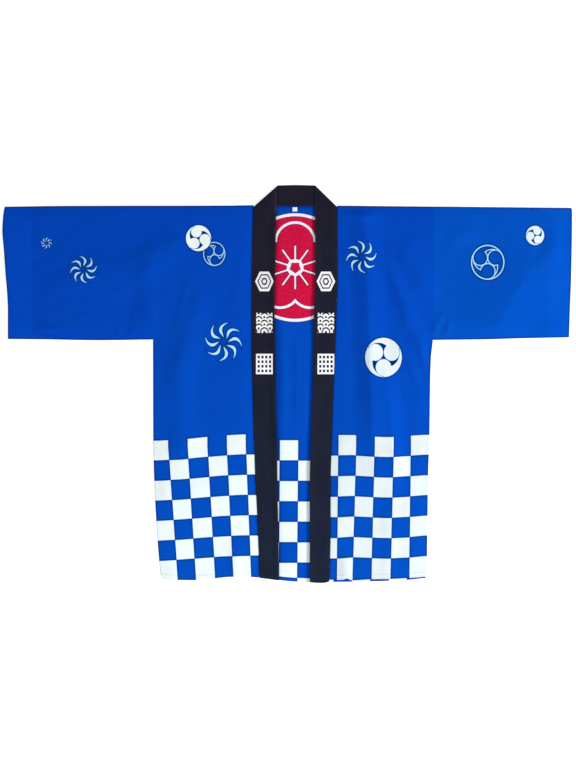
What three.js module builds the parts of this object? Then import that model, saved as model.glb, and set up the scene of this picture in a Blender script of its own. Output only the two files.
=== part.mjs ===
// A short festival haori (happi coat) of printed cotton, spread flat on a table with its front up.
// Millimetres, +Z up. +X runs to the viewer's right, cuff to cuff, and +Y runs from hem to neck.
// The origin is under the middle of the spread coat, on the surface that it lies on.
//
// The cut: one back, two fronts that fold over the shoulders onto it, two straight sleeves, each one
// rectangle folded along its top and sewn along its bottom, and a long band collar. The collar runs up one
// front edge, folds over on itself at the shoulder, crosses the back of the neck and comes down the other
// front edge, so it is made in the three runs that show. A small blank label hangs from the neck seam.
import * as THREE from "three";

// Driving sizes
const CLOTH = 1.2; // wall of one layer of cotton
const LAYER_GAP = 0.3; // between layers that lie on each other, and at sewn seams
const BAND = 2.4; // collar band, folded lengthwise to several layers
const BAND_WIDTH = 46; // of the collar band as it lies
const STACK = 2 * CLOTH + LAYER_GAP; // back layer and front layer together
const TOP_WALL = CLOTH + LAYER_GAP; // underside of the front layer
const WRAP = CLOTH + LAYER_GAP + 0.4; // how far the back stops inside a fold or seam that wraps it
const EDGE = 0.5; // rounding of a raw or folded edge
const HALF_SPAN = 640.5; // neck centre line to the widest point of a cuff
const HALF_LENGTH = 447.5; // half of the way from the top of the collar to the lowest hem
const UNDERARM = 100; // y where the sleeve's lower edge meets the side seam
const SETTLE = 26; // a crease dies out over this distance from a seam or fold
const FOLD_RISE = { from: 374, to: 396, slack: 17 }; // y where a front collar run climbs over the neck run
// The back widens to the armholes between two heights above the underarm; the side wrap stops below it
const NOTCH = { from: 3.5, to: 9, stop: 5 };
const HEM_TURN = { deep: 11, thick: 1, eased: 34 }; // the back's hem, turned once to the inside
const LABEL = { x: 17.3, wide: 12, drop: 11.5, thick: 1 };

// The outline as it lies, each table a run of places with a smooth curve through them
const SHOULDER_FOLD = [
  { x: -641, y: 400 }, { x: -500, y: 402 }, { x: -130, y: 402.5 }, { x: -60, y: 403.5 }, { x: 100, y: 402.5 },
  { x: 170, y: 402 }, { x: 420, y: 400 }, { x: 641, y: 397.5 },
];
const LEFT = {
  side: [
    { y: 404, x: -304 }, { y: 234, x: -305 }, { y: 100, x: -302 }, { y: -115, x: -301.5 },
    { y: -176, x: -300.5 },
    { y: -265, x: -297 }, { y: -354, x: -291.5 }, { y: -398, x: -288 }, { y: -441, x: -284 },
  ],
  collarSeam: [
    { y: 404, x: -76 }, { y: 250, x: -79 }, { y: 110, x: -79.5 }, { y: 0, x: -77.5 }, { y: -105, x: -74.5 },
    { y: -210, x: -71.5 }, { y: -265, x: -68.5 }, { y: -375, x: -64 }, { y: -441, x: -62 },
  ],
  collarEdge: [
    { y: 446, x: -26 }, { y: 402, x: -25 }, { y: 300, x: -26.5 }, { y: 190, x: -28.5 }, { y: 60, x: -27.5 },
    { y: -75, x: -25.7 }, { y: -130, x: -23.5 }, { y: -265, x: -21.5 }, { y: -320, x: -20 },
    { y: -448, x: -19 },
  ],
  hem: [
    { x: -285, y: -434 }, { x: -276, y: -438.5 }, { x: -246, y: -440.5 }, { x: -201, y: -441 },
    { x: -174, y: -439.5 },
    { x: -155, y: -436 }, { x: -128, y: -433.5 }, { x: -100, y: -433 }, { x: -62, y: -435 },
  ],
  bandHem: [{ x: -62, y: -436 }, { x: -19, y: -441.5 }],
  cuff: [
    { y: 401, x: -635 }, { y: 380, x: -638.5 }, { y: 345, x: -HALF_SPAN }, { y: 300, x: -637 },
    { y: 250, x: -633.5 },
    { y: 200, x: -629.5 }, { y: 160, x: -628 }, { y: 98, x: -628 },
  ],
  sleeveUnder: [{ x: -630, y: 101 }, { x: -560, y: 100.5 }, { x: -430, y: 98.5 }, { x: -302, y: UNDERARM }],
};
const RIGHT = {
  side: [
    { y: 404, x: 330 }, { y: 234, x: 330 }, { y: 100, x: 327.5 }, { y: 60, x: 323.5 }, { y: 0, x: 321.5 },
    { y: -115, x: 320 }, { y: -205, x: 317 }, { y: -298, x: 315.7 }, { y: -387, x: 314.5 },
    { y: -441, x: 312.5 },
  ],
  collarSeam: [
    { y: 404, x: 112 }, { y: 220, x: 112.3 }, { y: 166, x: 110.2 }, { y: 58, x: 106.4 }, { y: -50, x: 102.3 },
    { y: -157, x: 99 }, { y: -211, x: 97.5 }, { y: -346, x: 97 }, { y: -448, x: 94.3 },
  ],
  collarEdge: [
    { y: 446, x: 63 }, { y: 402, x: 62 }, { y: 300, x: 63.5 }, { y: 215, x: 62.5 }, { y: 160, x: 60 },
    { y: 60, x: 59.8 }, { y: 0, x: 58 }, { y: -105, x: 54 }, { y: -160, x: 52 }, { y: -240, x: 50.5 },
    { y: -448, x: 51 },
  ],
  hem: [
    { x: 97, y: -439.7 }, { x: 112, y: -440.6 }, { x: 126, y: -439.7 }, { x: 133, y: -437.2 },
    { x: 146, y: -441.3 },
    { x: 188, y: -438.8 }, { x: 232, y: -437.8 }, { x: 275, y: -436 }, { x: 313, y: -433.3 },
  ],
  bandHem: [
    { x: 51, y: -445.8 }, { x: 65, y: -447.1 }, { x: 78, y: -HALF_LENGTH }, { x: 90, y: -446 },
    { x: 95, y: -443 },
  ],
  cuff: [
    { y: 399, x: 639 }, { y: 385, x: HALF_SPAN }, { y: 335, x: 640 }, { y: 230, x: 638 },
    { y: 170, x: 635.5 },
    { y: 98, x: 633.5 },
  ],
  sleeveUnder: [
    { x: 327, y: UNDERARM - 1 }, { x: 378, y: 99.5 }, { x: 456, y: 100.5 }, { x: 520, y: 102.5 },
    { x: 640, y: 105 },
  ],
};
const BACK_HEM = [
  { x: -286, y: -432 }, { x: -200, y: -437 }, { x: -128, y: -430.5 }, { x: -62, y: -433.5 },
  { x: -19, y: -441.5 },
  { x: 22, y: -444.8 }, { x: 53, y: -445.9 }, { x: 110, y: -445.2 }, { x: 208, y: -443.5 },
  { x: 276, y: -440.8 },
  { x: 314, y: -437 },
];
// The collar band folds over along a slant at each shoulder, from the seam's top to the band's free edge
const SLANT = {
  left: { seam: { x: -76, y: 400.5 }, tip: { x: -27.5, y: 443.5 } },
  right: { seam: { x: 110, y: 400.5 }, tip: { x: 64.5, y: 445 } },
};
const NECK_TOP = [{ x: -20, y: 446.6 }, { x: 20, y: HALF_LENGTH }, { x: 60, y: 446.6 }];
const NECK_TOP_ENDS = { left: -19, right: 61.5 };

// Soft creases in the upper layer, where the cloth stands off the layer below: from one end to the other,
// half as wide as "wide" says on each side, and raised by "high" at the middle
const CREASES = [
  { x1: 588, y1: 322, x2: 474, y2: 82, wide: 30, high: 3.2 },
  { x1: 326, y1: 86, x2: 370, y2: 182, wide: 20, high: 2.3 },
  { x1: 376, y1: 88, x2: 372, y2: 170, wide: 18, high: 1.6 },
  { x1: 236, y1: 322, x2: 330, y2: 150, wide: 38, high: 2 },
  { x1: 180, y1: 292, x2: 247, y2: -170, wide: 34, high: 2.8 },
  { x1: 272, y1: 52, x2: 322, y2: -32, wide: 20, high: 2 },
  { x1: 112, y1: 400, x2: 196, y2: 366, wide: 22, high: 1.8 },
  { x1: 133, y1: -500, x2: 130, y2: -350, wide: 19, high: 2.6 },
  { x1: 226, y1: -520, x2: 238, y2: -180, wide: 26, high: 1.7 },
  { x1: -222, y1: 362, x2: -388, y2: 236, wide: 28, high: 2.6 },
  { x1: -572, y1: 126, x2: -486, y2: 129, wide: 20, high: 1.8 },
  { x1: -572, y1: 166, x2: -522, y2: 224, wide: 20, high: 1.4 },
  { x1: -352, y1: 88, x2: -326, y2: 206, wide: 22, high: 2.2 },
  { x1: -262, y1: 66, x2: -184, y2: 274, wide: 26, high: 2.4 },
  { x1: -113, y1: -500, x2: -117, y2: -340, wide: 22, high: 2 },
  { x1: -217, y1: 92, x2: -230, y2: -158, wide: 30, high: 1.5 },
];

// Mesh spacing, fine enough for the creases
const STEP = { front: 24, back: 46, sleeve: 24, band: 28 };
const ROUND_STEPS = 4; // in the half circle of a sleeve's fold and seam

// Working curves

/** A smooth curve through a table's rows that never overshoots them: value as a function of along. */
function through(rows, along, value) {
  const sorted = [...rows].sort((a, b) => a[along] - b[along]);
  const t = sorted.map((row) => row[along]);
  const v = sorted.map((row) => row[value]);
  const slope = t.slice(1).map((next, i) => (v[i + 1] - v[i]) / (next - t[i]));
  const tangent = v.map((_, i) => {
    if (i === 0) return slope[0];
    if (i === v.length - 1) return slope[i - 1];
    const product = slope[i - 1] * slope[i];
    return product <= 0 ? 0 : (2 * product) / (slope[i - 1] + slope[i]);
  });
  return (at) => {
    const clamped = THREE.MathUtils.clamp(at, t[0], t[t.length - 1]);
    let i = 0;
    while (i < t.length - 2 && clamped > t[i + 1]) i += 1;
    const span = t[i + 1] - t[i];
    const s = (clamped - t[i]) / span;
    const rise = v[i] * (2 * s ** 3 - 3 * s ** 2 + 1) + v[i + 1] * (3 * s ** 2 - 2 * s ** 3);
    const bend = tangent[i] * (s ** 3 - 2 * s ** 2 + s) + tangent[i + 1] * (s ** 3 - s ** 2);
    return rise + span * bend;
  };
}

const lerp = THREE.MathUtils.lerp;
const smoothstep = THREE.MathUtils.smoothstep;
const shoulder = through(SHOULDER_FOLD, "x", "y");
const backHem = through(BACK_HEM, "x", "y");
const neckTop = through(NECK_TOP, "x", "y");

/** The smooth outline of one side of the coat. */
function curvesOf(half) {
  return {
    side: through(half.side, "y", "x"),
    collarSeam: through(half.collarSeam, "y", "x"),
    collarEdge: through(half.collarEdge, "y", "x"),
    cuff: through(half.cuff, "y", "x"),
    hem: through(half.hem, "x", "y"),
    bandHem: through(half.bandHem, "x", "y"),
    sleeveUnder: through(half.sleeveUnder, "x", "y"),
  };
}
const left = curvesOf(LEFT);
const right = curvesOf(RIGHT);

/** Height of the creases at a place, before they are held down at the seams. */
function creaseHeight(x, y) {
  return CREASES.reduce((sum, { x1, y1, x2, y2, wide, high }) => {
    const [dx, dy] = [x2 - x1, y2 - y1];
    const t = THREE.MathUtils.clamp(((x - x1) * dx + (y - y1) * dy) / (dx * dx + dy * dy), 0, 1);
    const away = Math.hypot(x - x1 - t * dx, y - y1 - t * dy) / wide;
    const ends = smoothstep(t, 0, 0.3) * smoothstep(1 - t, 0, 0.3);
    return away < 1 ? sum + high * ends * (1 - away * away) ** 2 : sum;
  }, 0);
}

/** How free the upper layer is at a distance from a sewn or folded edge, from 0 to 1. */
const free = (distance) => smoothstep(distance, 0, SETTLE);

/** How far the back's turned hem lifts what lies on it, at a height above that layer's own hem. */
const overHem = (rise) => HEM_TURN.thick * (1 - smoothstep(rise, HEM_TURN.deep + 1, HEM_TURN.eased));

/** Row or column positions from 0 to 1: even steps, with extra ones where they are asked for. */
function stations(length, step, extra = []) {
  const count = Math.max(2, Math.round(length / step));
  const even = Array.from({ length: count + 1 }, (_, i) => i / count);
  const kept = even.filter((s) => s === 0 || s === 1 || extra.every((e) => Math.abs(e - s) > 0.35 / count));
  return [...kept, ...extra].sort((a, b) => a - b);
}

// Solids

/**
 * A sheet of cloth as a closed wall. columns run left to right and rows from the hem end upwards.
 * at(u, v) gives the outline's place, under(x, y) the height of the underside and wall(x, y) the thickness.
 * wraps(y, ox, oy) says whether the edge that faces (ox, oy) turns down to the table.
 */
function clothWall({ columns, rows, at, under, wall, wraps = () => false }) {
  const positions = [];
  const faces = [];
  const put = (x, y, z) => positions.push(x, y, z) / 3 - 1;
  const nc = columns.length;
  const nr = rows.length;
  const outwards = (i, j) => [i === 0 ? -1 : i === nc - 1 ? 1 : 0, j === 0 ? -1 : j === nr - 1 ? 1 : 0];
  const top = [];
  const bottom = [];
  const edge = new Map();
  rows.forEach((v, j) => columns.forEach((u, i) => {
    const [x, y] = at(u, v);
    const [ox, oy] = outwards(i, j);
    const z = under(x, y);
    const thick = wall(x, y);
    if (!ox && !oy) {
      top.push(put(x, y, z + thick));
      bottom.push(put(x, y, z));
      return;
    }
    const wrapped = wraps(y, ox, oy);
    const inset = wrapped ? thick + EDGE * 0.1 : EDGE;
    const foot = wrapped ? thick : EDGE * 0.6;
    top.push(put(x - ox * EDGE, y - oy * EDGE, z + thick));
    bottom.push(put(x - ox * inset, y - oy * inset, z));
    edge.set(j * nc + i, [
      put(x, y, z + thick - EDGE),
      put(x, y, wrapped ? 0 : z + thick * 0.25),
      put(x - ox * foot, y - oy * foot, wrapped ? 0 : z + thick * 0.1),
    ]);
  }));
  for (let j = 0; j + 1 < nr; j += 1) {
    for (let i = 0; i + 1 < nc; i += 1) {
      const [a, b, c, d] = [j * nc + i, j * nc + i + 1, (j + 1) * nc + i + 1, (j + 1) * nc + i];
      faces.push(top[a], top[b], top[c], top[a], top[c], top[d]);
      faces.push(bottom[a], bottom[c], bottom[b], bottom[a], bottom[d], bottom[c]);
    }
  }
  const around = [];
  for (let i = 0; i < nc - 1; i += 1) around.push(i);
  for (let j = 0; j < nr - 1; j += 1) around.push(j * nc + nc - 1);
  for (let i = nc - 1; i > 0; i -= 1) around.push((nr - 1) * nc + i);
  for (let j = nr - 1; j > 0; j -= 1) around.push(j * nc);
  around.forEach((from, k) => {
    const to = around[(k + 1) % around.length];
    const near = [top[from], ...edge.get(from), bottom[from]];
    const next = [top[to], ...edge.get(to), bottom[to]];
    for (let s = 0; s + 1 < near.length; s += 1) {
      faces.push(near[s], near[s + 1], next[s + 1], near[s], next[s + 1], next[s]);
    }
  });
  return geometryOf(positions, faces);
}

/** A flattened tube of cloth, open at both ends: rings across X, each with an outer and an inner loop. */
function clothTube({ stationsAlong, ringAt }) {
  const positions = [];
  const faces = [];
  const rings = stationsAlong.map((s) => ringAt(s));
  const size = rings[0].length;
  rings.forEach((ring) => ring.forEach(({ outer }) => positions.push(...outer)));
  rings.forEach((ring) => ring.forEach(({ inner }) => positions.push(...inner)));
  const outside = (j, i) => j * size + (i % size);
  const inside = (j, i) => (rings.length + j) * size + (i % size);
  const last = rings.length - 1;
  for (let i = 0; i < size; i += 1) {
    for (let j = 0; j < last; j += 1) {
      const skin = [outside(j, i), outside(j, i + 1), outside(j + 1, i + 1), outside(j + 1, i)];
      const hollow = [inside(j, i), inside(j + 1, i), inside(j + 1, i + 1), inside(j, i + 1)];
      [skin, hollow].forEach(([a, b, c, d]) => faces.push(a, b, c, a, c, d));
    }
    const mouths = [
      [outside(0, i), inside(0, i), inside(0, i + 1), outside(0, i + 1)],
      [outside(last, i), outside(last, i + 1), inside(last, i + 1), inside(last, i)],
    ];
    mouths.forEach(([a, b, c, d]) => faces.push(a, b, c, a, c, d));
  }
  return geometryOf(positions, faces);
}

/** A mesh from flat lists of coordinates and of vertex numbers. */
function geometryOf(positions, faces) {
  const geometry = new THREE.BufferGeometry();
  geometry.setAttribute("position", new THREE.Float32BufferAttribute(positions, 3));
  geometry.setIndex(faces);
  geometry.computeVertexNormals();
  return geometry;
}

// The pieces

/** The back: flat on the table, just inside the fronts' fold at the shoulders and seam at the sides. */
function back() {
  const high = shoulder(0) - WRAP;
  const low = (backHem(left.side(-HALF_LENGTH)) + backHem(right.side(-HALF_LENGTH))) / 2;
  const rowAt = (y) => (y - low) / (high - low);
  const turn = [rowAt(low + HEM_TURN.deep - 1), rowAt(low + HEM_TURN.deep)];
  const notch = [rowAt(UNDERARM + NOTCH.from), rowAt(UNDERARM + NOTCH.to)];
  const rows = stations(high - low, STEP.back, [...turn, ...notch]);
  const inset = (y) => (y > UNDERARM + (NOTCH.from + NOTCH.to) / 2 ? 0 : WRAP);
  return clothWall({
    columns: stations(right.side(0) - left.side(0), STEP.back),
    rows,
    at: (u, v) => {
      const guess = lerp(left.side(0), right.side(0), u);
      const y = lerp(backHem(guess), shoulder(guess) - WRAP, v);
      return [lerp(left.side(y) + inset(y), right.side(y) - inset(y), u), y];
    },
    under: () => 0,
    wall: (x, y) => (y < backHem(x) + HEM_TURN.deep - 0.5 ? CLOTH + HEM_TURN.thick : CLOTH),
  });
}

/** A front: it wraps over the back along the shoulder and, below the arm, along the side. */
function front(half, sideIsLeft) {
  const outer = half.side;
  const inner = (y) => half.collarSeam(y) + (sideIsLeft ? -LAYER_GAP : LAYER_GAP);
  const low = half.hem(outer(-HALF_LENGTH));
  const high = shoulder(outer(HALF_LENGTH));
  const rowAt = (y) => (y - low) / (high - low);
  const at = (u, v) => {
    const across = (y) => (sideIsLeft ? lerp(outer(y), inner(y), u) : lerp(inner(y), outer(y), u));
    const y = lerp(half.hem(across(-HALF_LENGTH)), shoulder(across(HALF_LENGTH)), v);
    return [across(y), y];
  };
  const under = (x, y) => {
    const toSide = Math.hypot(x - outer(y), Math.max(0, y - UNDERARM));
    const held = free(shoulder(x) - y) * free(Math.abs(inner(y) - x)) * free(toSide);
    return TOP_WALL + creaseHeight(x, y) * held + overHem(y - half.hem(x));
  };
  return clothWall({
    columns: stations(Math.abs(outer(0) - inner(0)), STEP.front),
    rows: stations(high - low, STEP.front, [
      rowAt(low + HEM_TURN.deep + 1), rowAt(UNDERARM - NOTCH.stop), rowAt(UNDERARM),
    ]),
    at,
    under,
    wall: () => CLOTH,
    wraps: (y, ox, oy) => {
      const alongShoulder = oy === 1 && ox === 0;
      const alongSide = oy === 0 && ox === (sideIsLeft ? -1 : 1) && y < UNDERARM - NOTCH.stop / 2;
      return alongShoulder || alongSide;
    },
  });
}

/** A sleeve: one length of cloth folded along the top and sewn underneath, open at armhole and cuff. */
function sleeve(half, sideIsLeft) {
  const radius = STACK / 2;
  const armhole = (y) => half.side(y) + (sideIsLeft ? -LAYER_GAP : LAYER_GAP);
  const lowX = sideIsLeft ? half.cuff : armhole;
  const highX = sideIsLeft ? armhole : half.cuff;
  const middle = (shoulder(0) + UNDERARM) / 2;
  const depth = shoulder(highX(middle)) - UNDERARM;
  const upperMarks = stations(depth, STEP.sleeve);
  const lowerMarks = stations(depth, 2 * STEP.sleeve);
  const ringAt = (s) => {
    const place = lerp(lowX(middle), highX(middle), s);
    const yTop = shoulder(place);
    const yLow = half.sleeveUnder(place);
    const across = (y) => lerp(lowX(y), highX(y), s);
    const ring = [];
    const round = (centre, from, to) => {
      for (let k = 0; k <= ROUND_STEPS; k += 1) {
        const angle = THREE.MathUtils.degToRad(lerp(from, to, k / ROUND_STEPS));
        const on = (r) => {
          const y = centre + r * Math.cos(angle);
          return [across(y), y, radius + r * Math.sin(angle)];
        };
        ring.push({ outer: on(radius), inner: on(radius - CLOTH) });
      }
    };
    const layer = (from, to, marks, heightOf) => {
      marks.slice(1, -1).forEach((m) => {
        const y = lerp(from, to, m);
        const x = across(y);
        const [outerZ, innerZ] = heightOf(x, y);
        ring.push({ outer: [x, y, outerZ], inner: [x, y, innerZ] });
      });
    };
    const foldCentre = yTop - radius;
    const seamCentre = yLow + radius;
    round(foldCentre, -90, 90);
    ring.shift();
    layer(foldCentre, seamCentre, upperMarks, (x, y) => {
      const lift = creaseHeight(x, y) * free(yTop - y) * free(y - yLow);
      return [STACK + lift, STACK - CLOTH + lift];
    });
    round(seamCentre, 90, 270);
    layer(seamCentre, foldCentre, lowerMarks, () => [0, CLOTH]);
    ring.push({ outer: [across(foldCentre), foldCentre, 0], inner: [across(foldCentre), foldCentre, CLOTH] });
    return ring;
  };
  return clothTube({ stationsAlong: stations(highX(middle) - lowX(middle), STEP.sleeve), ringAt });
}

/** Where a collar run's outer side lies: down the seam, and above the shoulder along the slanting fold. */
function bandSide(half, slant) {
  return (y) => {
    if (y <= slant.seam.y) {
      return lerp(half.collarSeam(y), slant.seam.x, smoothstep(y, FOLD_RISE.from, slant.seam.y));
    }
    return THREE.MathUtils.mapLinear(y, slant.seam.y, slant.tip.y, slant.seam.x, slant.tip.x);
  };
}

/** A front run of the collar: on the back beside the front's edge, and over the neck run at its top. */
function collarRun(half, slant, sideIsLeft) {
  const outer = bandSide(half, slant);
  const inner = half.collarEdge;
  const low = half.bandHem(inner(-HALF_LENGTH));
  const rowAt = (y) => (y - low) / (slant.tip.y - low);
  const across = (y, u) => (sideIsLeft ? lerp(outer(y), inner(y), u) : lerp(inner(y), outer(y), u));
  return clothWall({
    columns: stations(BAND_WIDTH, STEP.band / 2),
    rows: stations(slant.tip.y - low, STEP.band, [
      rowAt(low + HEM_TURN.deep + 1), rowAt(slant.seam.y - FOLD_RISE.slack), rowAt(slant.seam.y),
    ]),
    at: (u, v) => {
      const y = lerp(half.bandHem(across(-HALF_LENGTH, u)), slant.tip.y, v);
      return [across(y, u), y];
    },
    under: (x, y) => {
      const overNeck = smoothstep(y, FOLD_RISE.from, FOLD_RISE.to);
      return lerp(TOP_WALL, BAND + LAYER_GAP, overNeck) + overHem(y - half.bandHem(x));
    },
    wall: () => BAND,
  });
}

/** The neck run of the collar, sewn to the back's neck edge and flat on the table. */
function neckRun() {
  const seamY = (x) => shoulder(x) - WRAP + LAYER_GAP;
  return clothWall({
    columns: stations(SLANT.right.seam.x - SLANT.left.seam.x, STEP.band),
    rows: [0, 0.5, 1],
    at: (u, v) => {
      const low = lerp(SLANT.left.seam.x + 1, SLANT.right.seam.x - 1, u);
      const high = lerp(NECK_TOP_ENDS.left, NECK_TOP_ENDS.right, u);
      return [lerp(low, high, v), lerp(seamY(low), neckTop(high), v)];
    },
    under: () => 0,
    wall: () => BAND,
  });
}

/** The blank label, caught in the neck seam and lying on the inside of the back. */
function label() {
  const top = shoulder(LABEL.x) - WRAP;
  return clothWall({
    columns: [0, 0.5, 1],
    rows: [0, 0.5, 1],
    at: (u, v) => [LABEL.x + (u - 0.5) * LABEL.wide, top - LABEL.drop * (1 - v)],
    under: () => TOP_WALL,
    wall: () => LABEL.thick,
  });
}

// Colours and finish, from the photograph
const blueCotton = new THREE.MeshStandardMaterial({ color: 0x014ac0, roughness: 0.85, metalness: 0 });
const blackCotton = new THREE.MeshStandardMaterial({ color: 0x1f2330, roughness: 0.9, metalness: 0 });
const whiteTape = new THREE.MeshStandardMaterial({ color: 0xf2f6fa, roughness: 0.7, metalness: 0 });

const pieces = {
  back: [back(), blueCotton],
  front_left: [front(left, true), blueCotton],
  front_right: [front(right, false), blueCotton],
  sleeve_left: [sleeve(left, true), blueCotton],
  sleeve_right: [sleeve(right, false), blueCotton],
  collar_left: [collarRun(left, SLANT.left, true), blackCotton],
  collar_neck: [neckRun(), blackCotton],
  collar_right: [collarRun(right, SLANT.right, false), blackCotton],
  label: [label(), whiteTape],
};

const haori = new THREE.Group();
Object.entries(pieces).forEach(([name, [geometry, material]]) => {
  const mesh = new THREE.Mesh(geometry, material);
  mesh.name = name;
  haori.add(mesh);
});

export default haori;
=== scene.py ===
"""A short festival haori (happi coat) of printed cotton, spread flat with its front up.

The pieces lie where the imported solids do. Each is a fine sheet of cloth with the creases that the coat has
as it lies, and its print is worked out from formulas. Tables and sizes are in millimetres, angles in
degrees, and meshes are made in metres.
"""

import logging
import math
from collections.abc import Callable, Sequence
from dataclasses import dataclass, field
from enum import Enum
from functools import reduce

import bpy
import numpy as np
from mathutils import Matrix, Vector


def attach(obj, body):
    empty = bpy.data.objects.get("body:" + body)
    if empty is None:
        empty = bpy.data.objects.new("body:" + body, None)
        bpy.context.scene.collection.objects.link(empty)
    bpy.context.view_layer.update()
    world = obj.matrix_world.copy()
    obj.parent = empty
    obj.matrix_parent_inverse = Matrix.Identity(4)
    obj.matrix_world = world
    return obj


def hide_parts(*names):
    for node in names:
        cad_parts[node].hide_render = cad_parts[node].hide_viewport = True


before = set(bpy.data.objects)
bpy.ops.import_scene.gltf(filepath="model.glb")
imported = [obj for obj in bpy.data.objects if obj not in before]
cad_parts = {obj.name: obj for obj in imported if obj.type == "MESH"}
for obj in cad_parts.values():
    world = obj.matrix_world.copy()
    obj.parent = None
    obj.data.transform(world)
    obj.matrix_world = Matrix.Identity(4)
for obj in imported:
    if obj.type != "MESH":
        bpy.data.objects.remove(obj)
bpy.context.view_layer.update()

MM = 0.001
BODY = "root"
PRINT_MAP = "cut"
PAINTED_SHADING_ATTRIBUTE = "tone"
log = logging.getLogger("haori")

Array = np.ndarray
Value = Array | float
Cut = tuple[Array, Array]
Pair = tuple[float, float]
Tree = bpy.types.NodeTree
Node = bpy.types.Node
Socket = bpy.types.NodeSocket


class Side(Enum):
    """The two halves of the coat, as the viewer sees them."""

    LEFT = "left"
    RIGHT = "right"


class Motif(Enum):
    """The traditional figures that are printed on the cloth."""

    TOMOE = "Three commas"
    TOMOE_LINES = "Three commas in outline"
    WHIRL = "Whirl of blades"
    HEXAGONS = "Nested hexagons"
    WAVES = "Wave scales"
    LATTICE = "Lattice of bars"
    BLOSSOM = "Plum blossom roundel"


class Colour(Enum):
    """Colours of the cloth and print, as sRGB hex values."""

    BLUE = "004ABC"
    # Painted darker and lighter copies of the blue, for where the light is weaker and stronger
    PAINTED_SHADE_BLUE = "0046BC"
    PAINTED_LIT_BLUE = "004EBC"
    NAVY = "04245A"
    DEEP_BLUE = "002868"
    WHITE = "E9F4F7"
    CLEAN_WHITE = "F4F5F8"
    THICK_WHITE = "F6FFFF"
    # White print painted darker for the right panels, to offset the stronger light there
    PAINTED_DIM_WHITE = "DDE8EC"
    THIN_WHITE = "BEEAFF"
    SOFT_RIM = "4A92DC"
    BLACK = "201E2C"
    HEM_BLACK = "1B2334"
    RED = "DE1848"
    DEEP_RED = "C2113C"
    PINK = "FFF0FA"
    TAPE = "FDFEFF"
    THREAD = "2C62BF"
    DARK_THREAD = "2B2F40"
    PAPER = "C8C8C8"

    @property
    def linear(self) -> tuple[float, float, float, float]:
        """The colour as linear RGBA."""
        channels = [int(self.value[i : i + 2], 16) / 255 for i in (0, 2, 4)]
        return (*(c / 12.92 if c <= 0.04045 else ((c + 0.055) / 1.055) ** 2.4 for c in channels), 1.0)


def ease(t: Value) -> Value:
    """Returns t clamped to 0..1 and eased at both ends."""
    t = np.clip(t, 0.0, 1.0)
    return t * t * (3 - 2 * t)


def mix(a: Value, b: Value, t: Value) -> Value:
    """Returns the value a share t of the way from a to b."""
    return a + (b - a) * t


def places(length: float, step: float, rim: float) -> Array:
    """Spreads places over a length, with closer ones beside both ends.

    Args:
        length: The whole length.
        step: The distance between two places in the middle.
        rim: How far in from each end the closer places reach.

    Returns:
        Places from 0 to 1, as shares of the length.
    """
    inner = np.linspace(rim, length - rim, max(2, round((length - 2 * rim) / step) + 1))
    ends = rim * np.array([0.0, 0.02, 0.12, 0.35, 0.65])
    return np.concatenate([ends, inner, length - ends[::-1]]) / length


def add(tree: Tree, kind: str, inputs: dict | Sequence = (), **settings: object) -> Node:
    """Adds one node with its settings and the values or links of its inputs.

    Args:
        tree: The tree that gets the node.
        kind: The node's type.
        inputs: Values, sockets or nodes, in order or by the input's name.
        **settings: The node's own properties.

    Returns:
        The new node.
    """
    node = tree.nodes.new(kind)
    for name, value in settings.items():
        setattr(node, name, value)
    for key, value in inputs.items() if isinstance(inputs, dict) else enumerate(inputs):
        if isinstance(value, Node):
            value = value.outputs[0]
        if isinstance(value, Socket):
            tree.links.new(value, node.inputs[key])
        elif value is not None:
            node.inputs[key].default_value = value
    return node


Step = tuple[str | float, ...]


class PrintGroup:
    """A shader group that draws a figure in a circle of radius 1, made once and used by many finishes.

    The figure is a list of steps, each with the name of what it gives, its operation and its terms. It gives
    fields that are above zero inside the figure, so that the edge stays sharp at any size.
    """

    name = ""
    numbers: dict[str, float] = {}
    fields: tuple[str, ...] = ("Figure",)

    @classmethod
    def tree(cls) -> Tree:
        """Makes the group on first use.

        Returns:
            The group.
        """
        found = bpy.data.node_groups.get(cls.name)
        if found:
            return found
        tree = bpy.data.node_groups.new(cls.name, "ShaderNodeTree")
        tree.interface.new_socket("Vector", in_out="INPUT", socket_type="NodeSocketVector")
        for name, value in cls.numbers.items():
            socket = tree.interface.new_socket(name, in_out="INPUT", socket_type="NodeSocketFloat")
            socket.default_value = value
        for name in cls.fields:
            tree.interface.new_socket(name, in_out="OUTPUT", socket_type="NodeSocketFloat")
        source = add(tree, "NodeGroupInput")
        place = add(tree, "ShaderNodeSeparateXYZ", [source])
        # A figure that is drawn part by part starts empty
        known = {"x": place.outputs["X"], "y": place.outputs["Y"], "Figure": -1.0}
        known |= {name: source.outputs[name] for name in cls.numbers}
        for name, operation, *terms in cls.steps():
            given = [known.get(term, term) for term in terms]
            known[name] = add(tree, "ShaderNodeMath", given, operation=operation)
        add(tree, "NodeGroupOutput", [known[name] for name in cls.fields])
        return tree

    @classmethod
    def steps(cls) -> list[Step]:
        """Returns the steps that lead from x and y to the figure's fields."""
        raise NotImplementedError


# Turn moves a figure's first tip, and Hand mirrors it
POLAR = {"Turn": 0.0, "Hand": 1.0}
POLAR_STEPS: list[Step] = [
    ("square", "MULTIPLY", "x", "x"),
    ("square", "MULTIPLY_ADD", "y", "y", "square"),
    ("radius", "SQRT", "square"),
    ("angle", "ARCTAN2", "y", "x"),
    ("angle", "SUBTRACT", "angle", "Turn"),
    ("angle", "MULTIPLY", "angle", "Hand"),
    ("Disc", "SUBTRACT", 1.0, "radius"),
]


def from_centre(at: float) -> list[Step]:
    """Lists the steps to the distance from a centre, with the cosine of the angle from it.

    Args:
        at: The radius at which the centre is.

    Returns:
        The steps, in order.
    """
    return [
        ("cross", "MULTIPLY", "cosine", "radius"),
        ("cross", "MULTIPLY_ADD", "cross", -2 * at, at**2),
        ("away", "MULTIPLY_ADD", "radius", "radius", "cross"),
        ("away", "SQRT", "away"),
    ]


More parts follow.
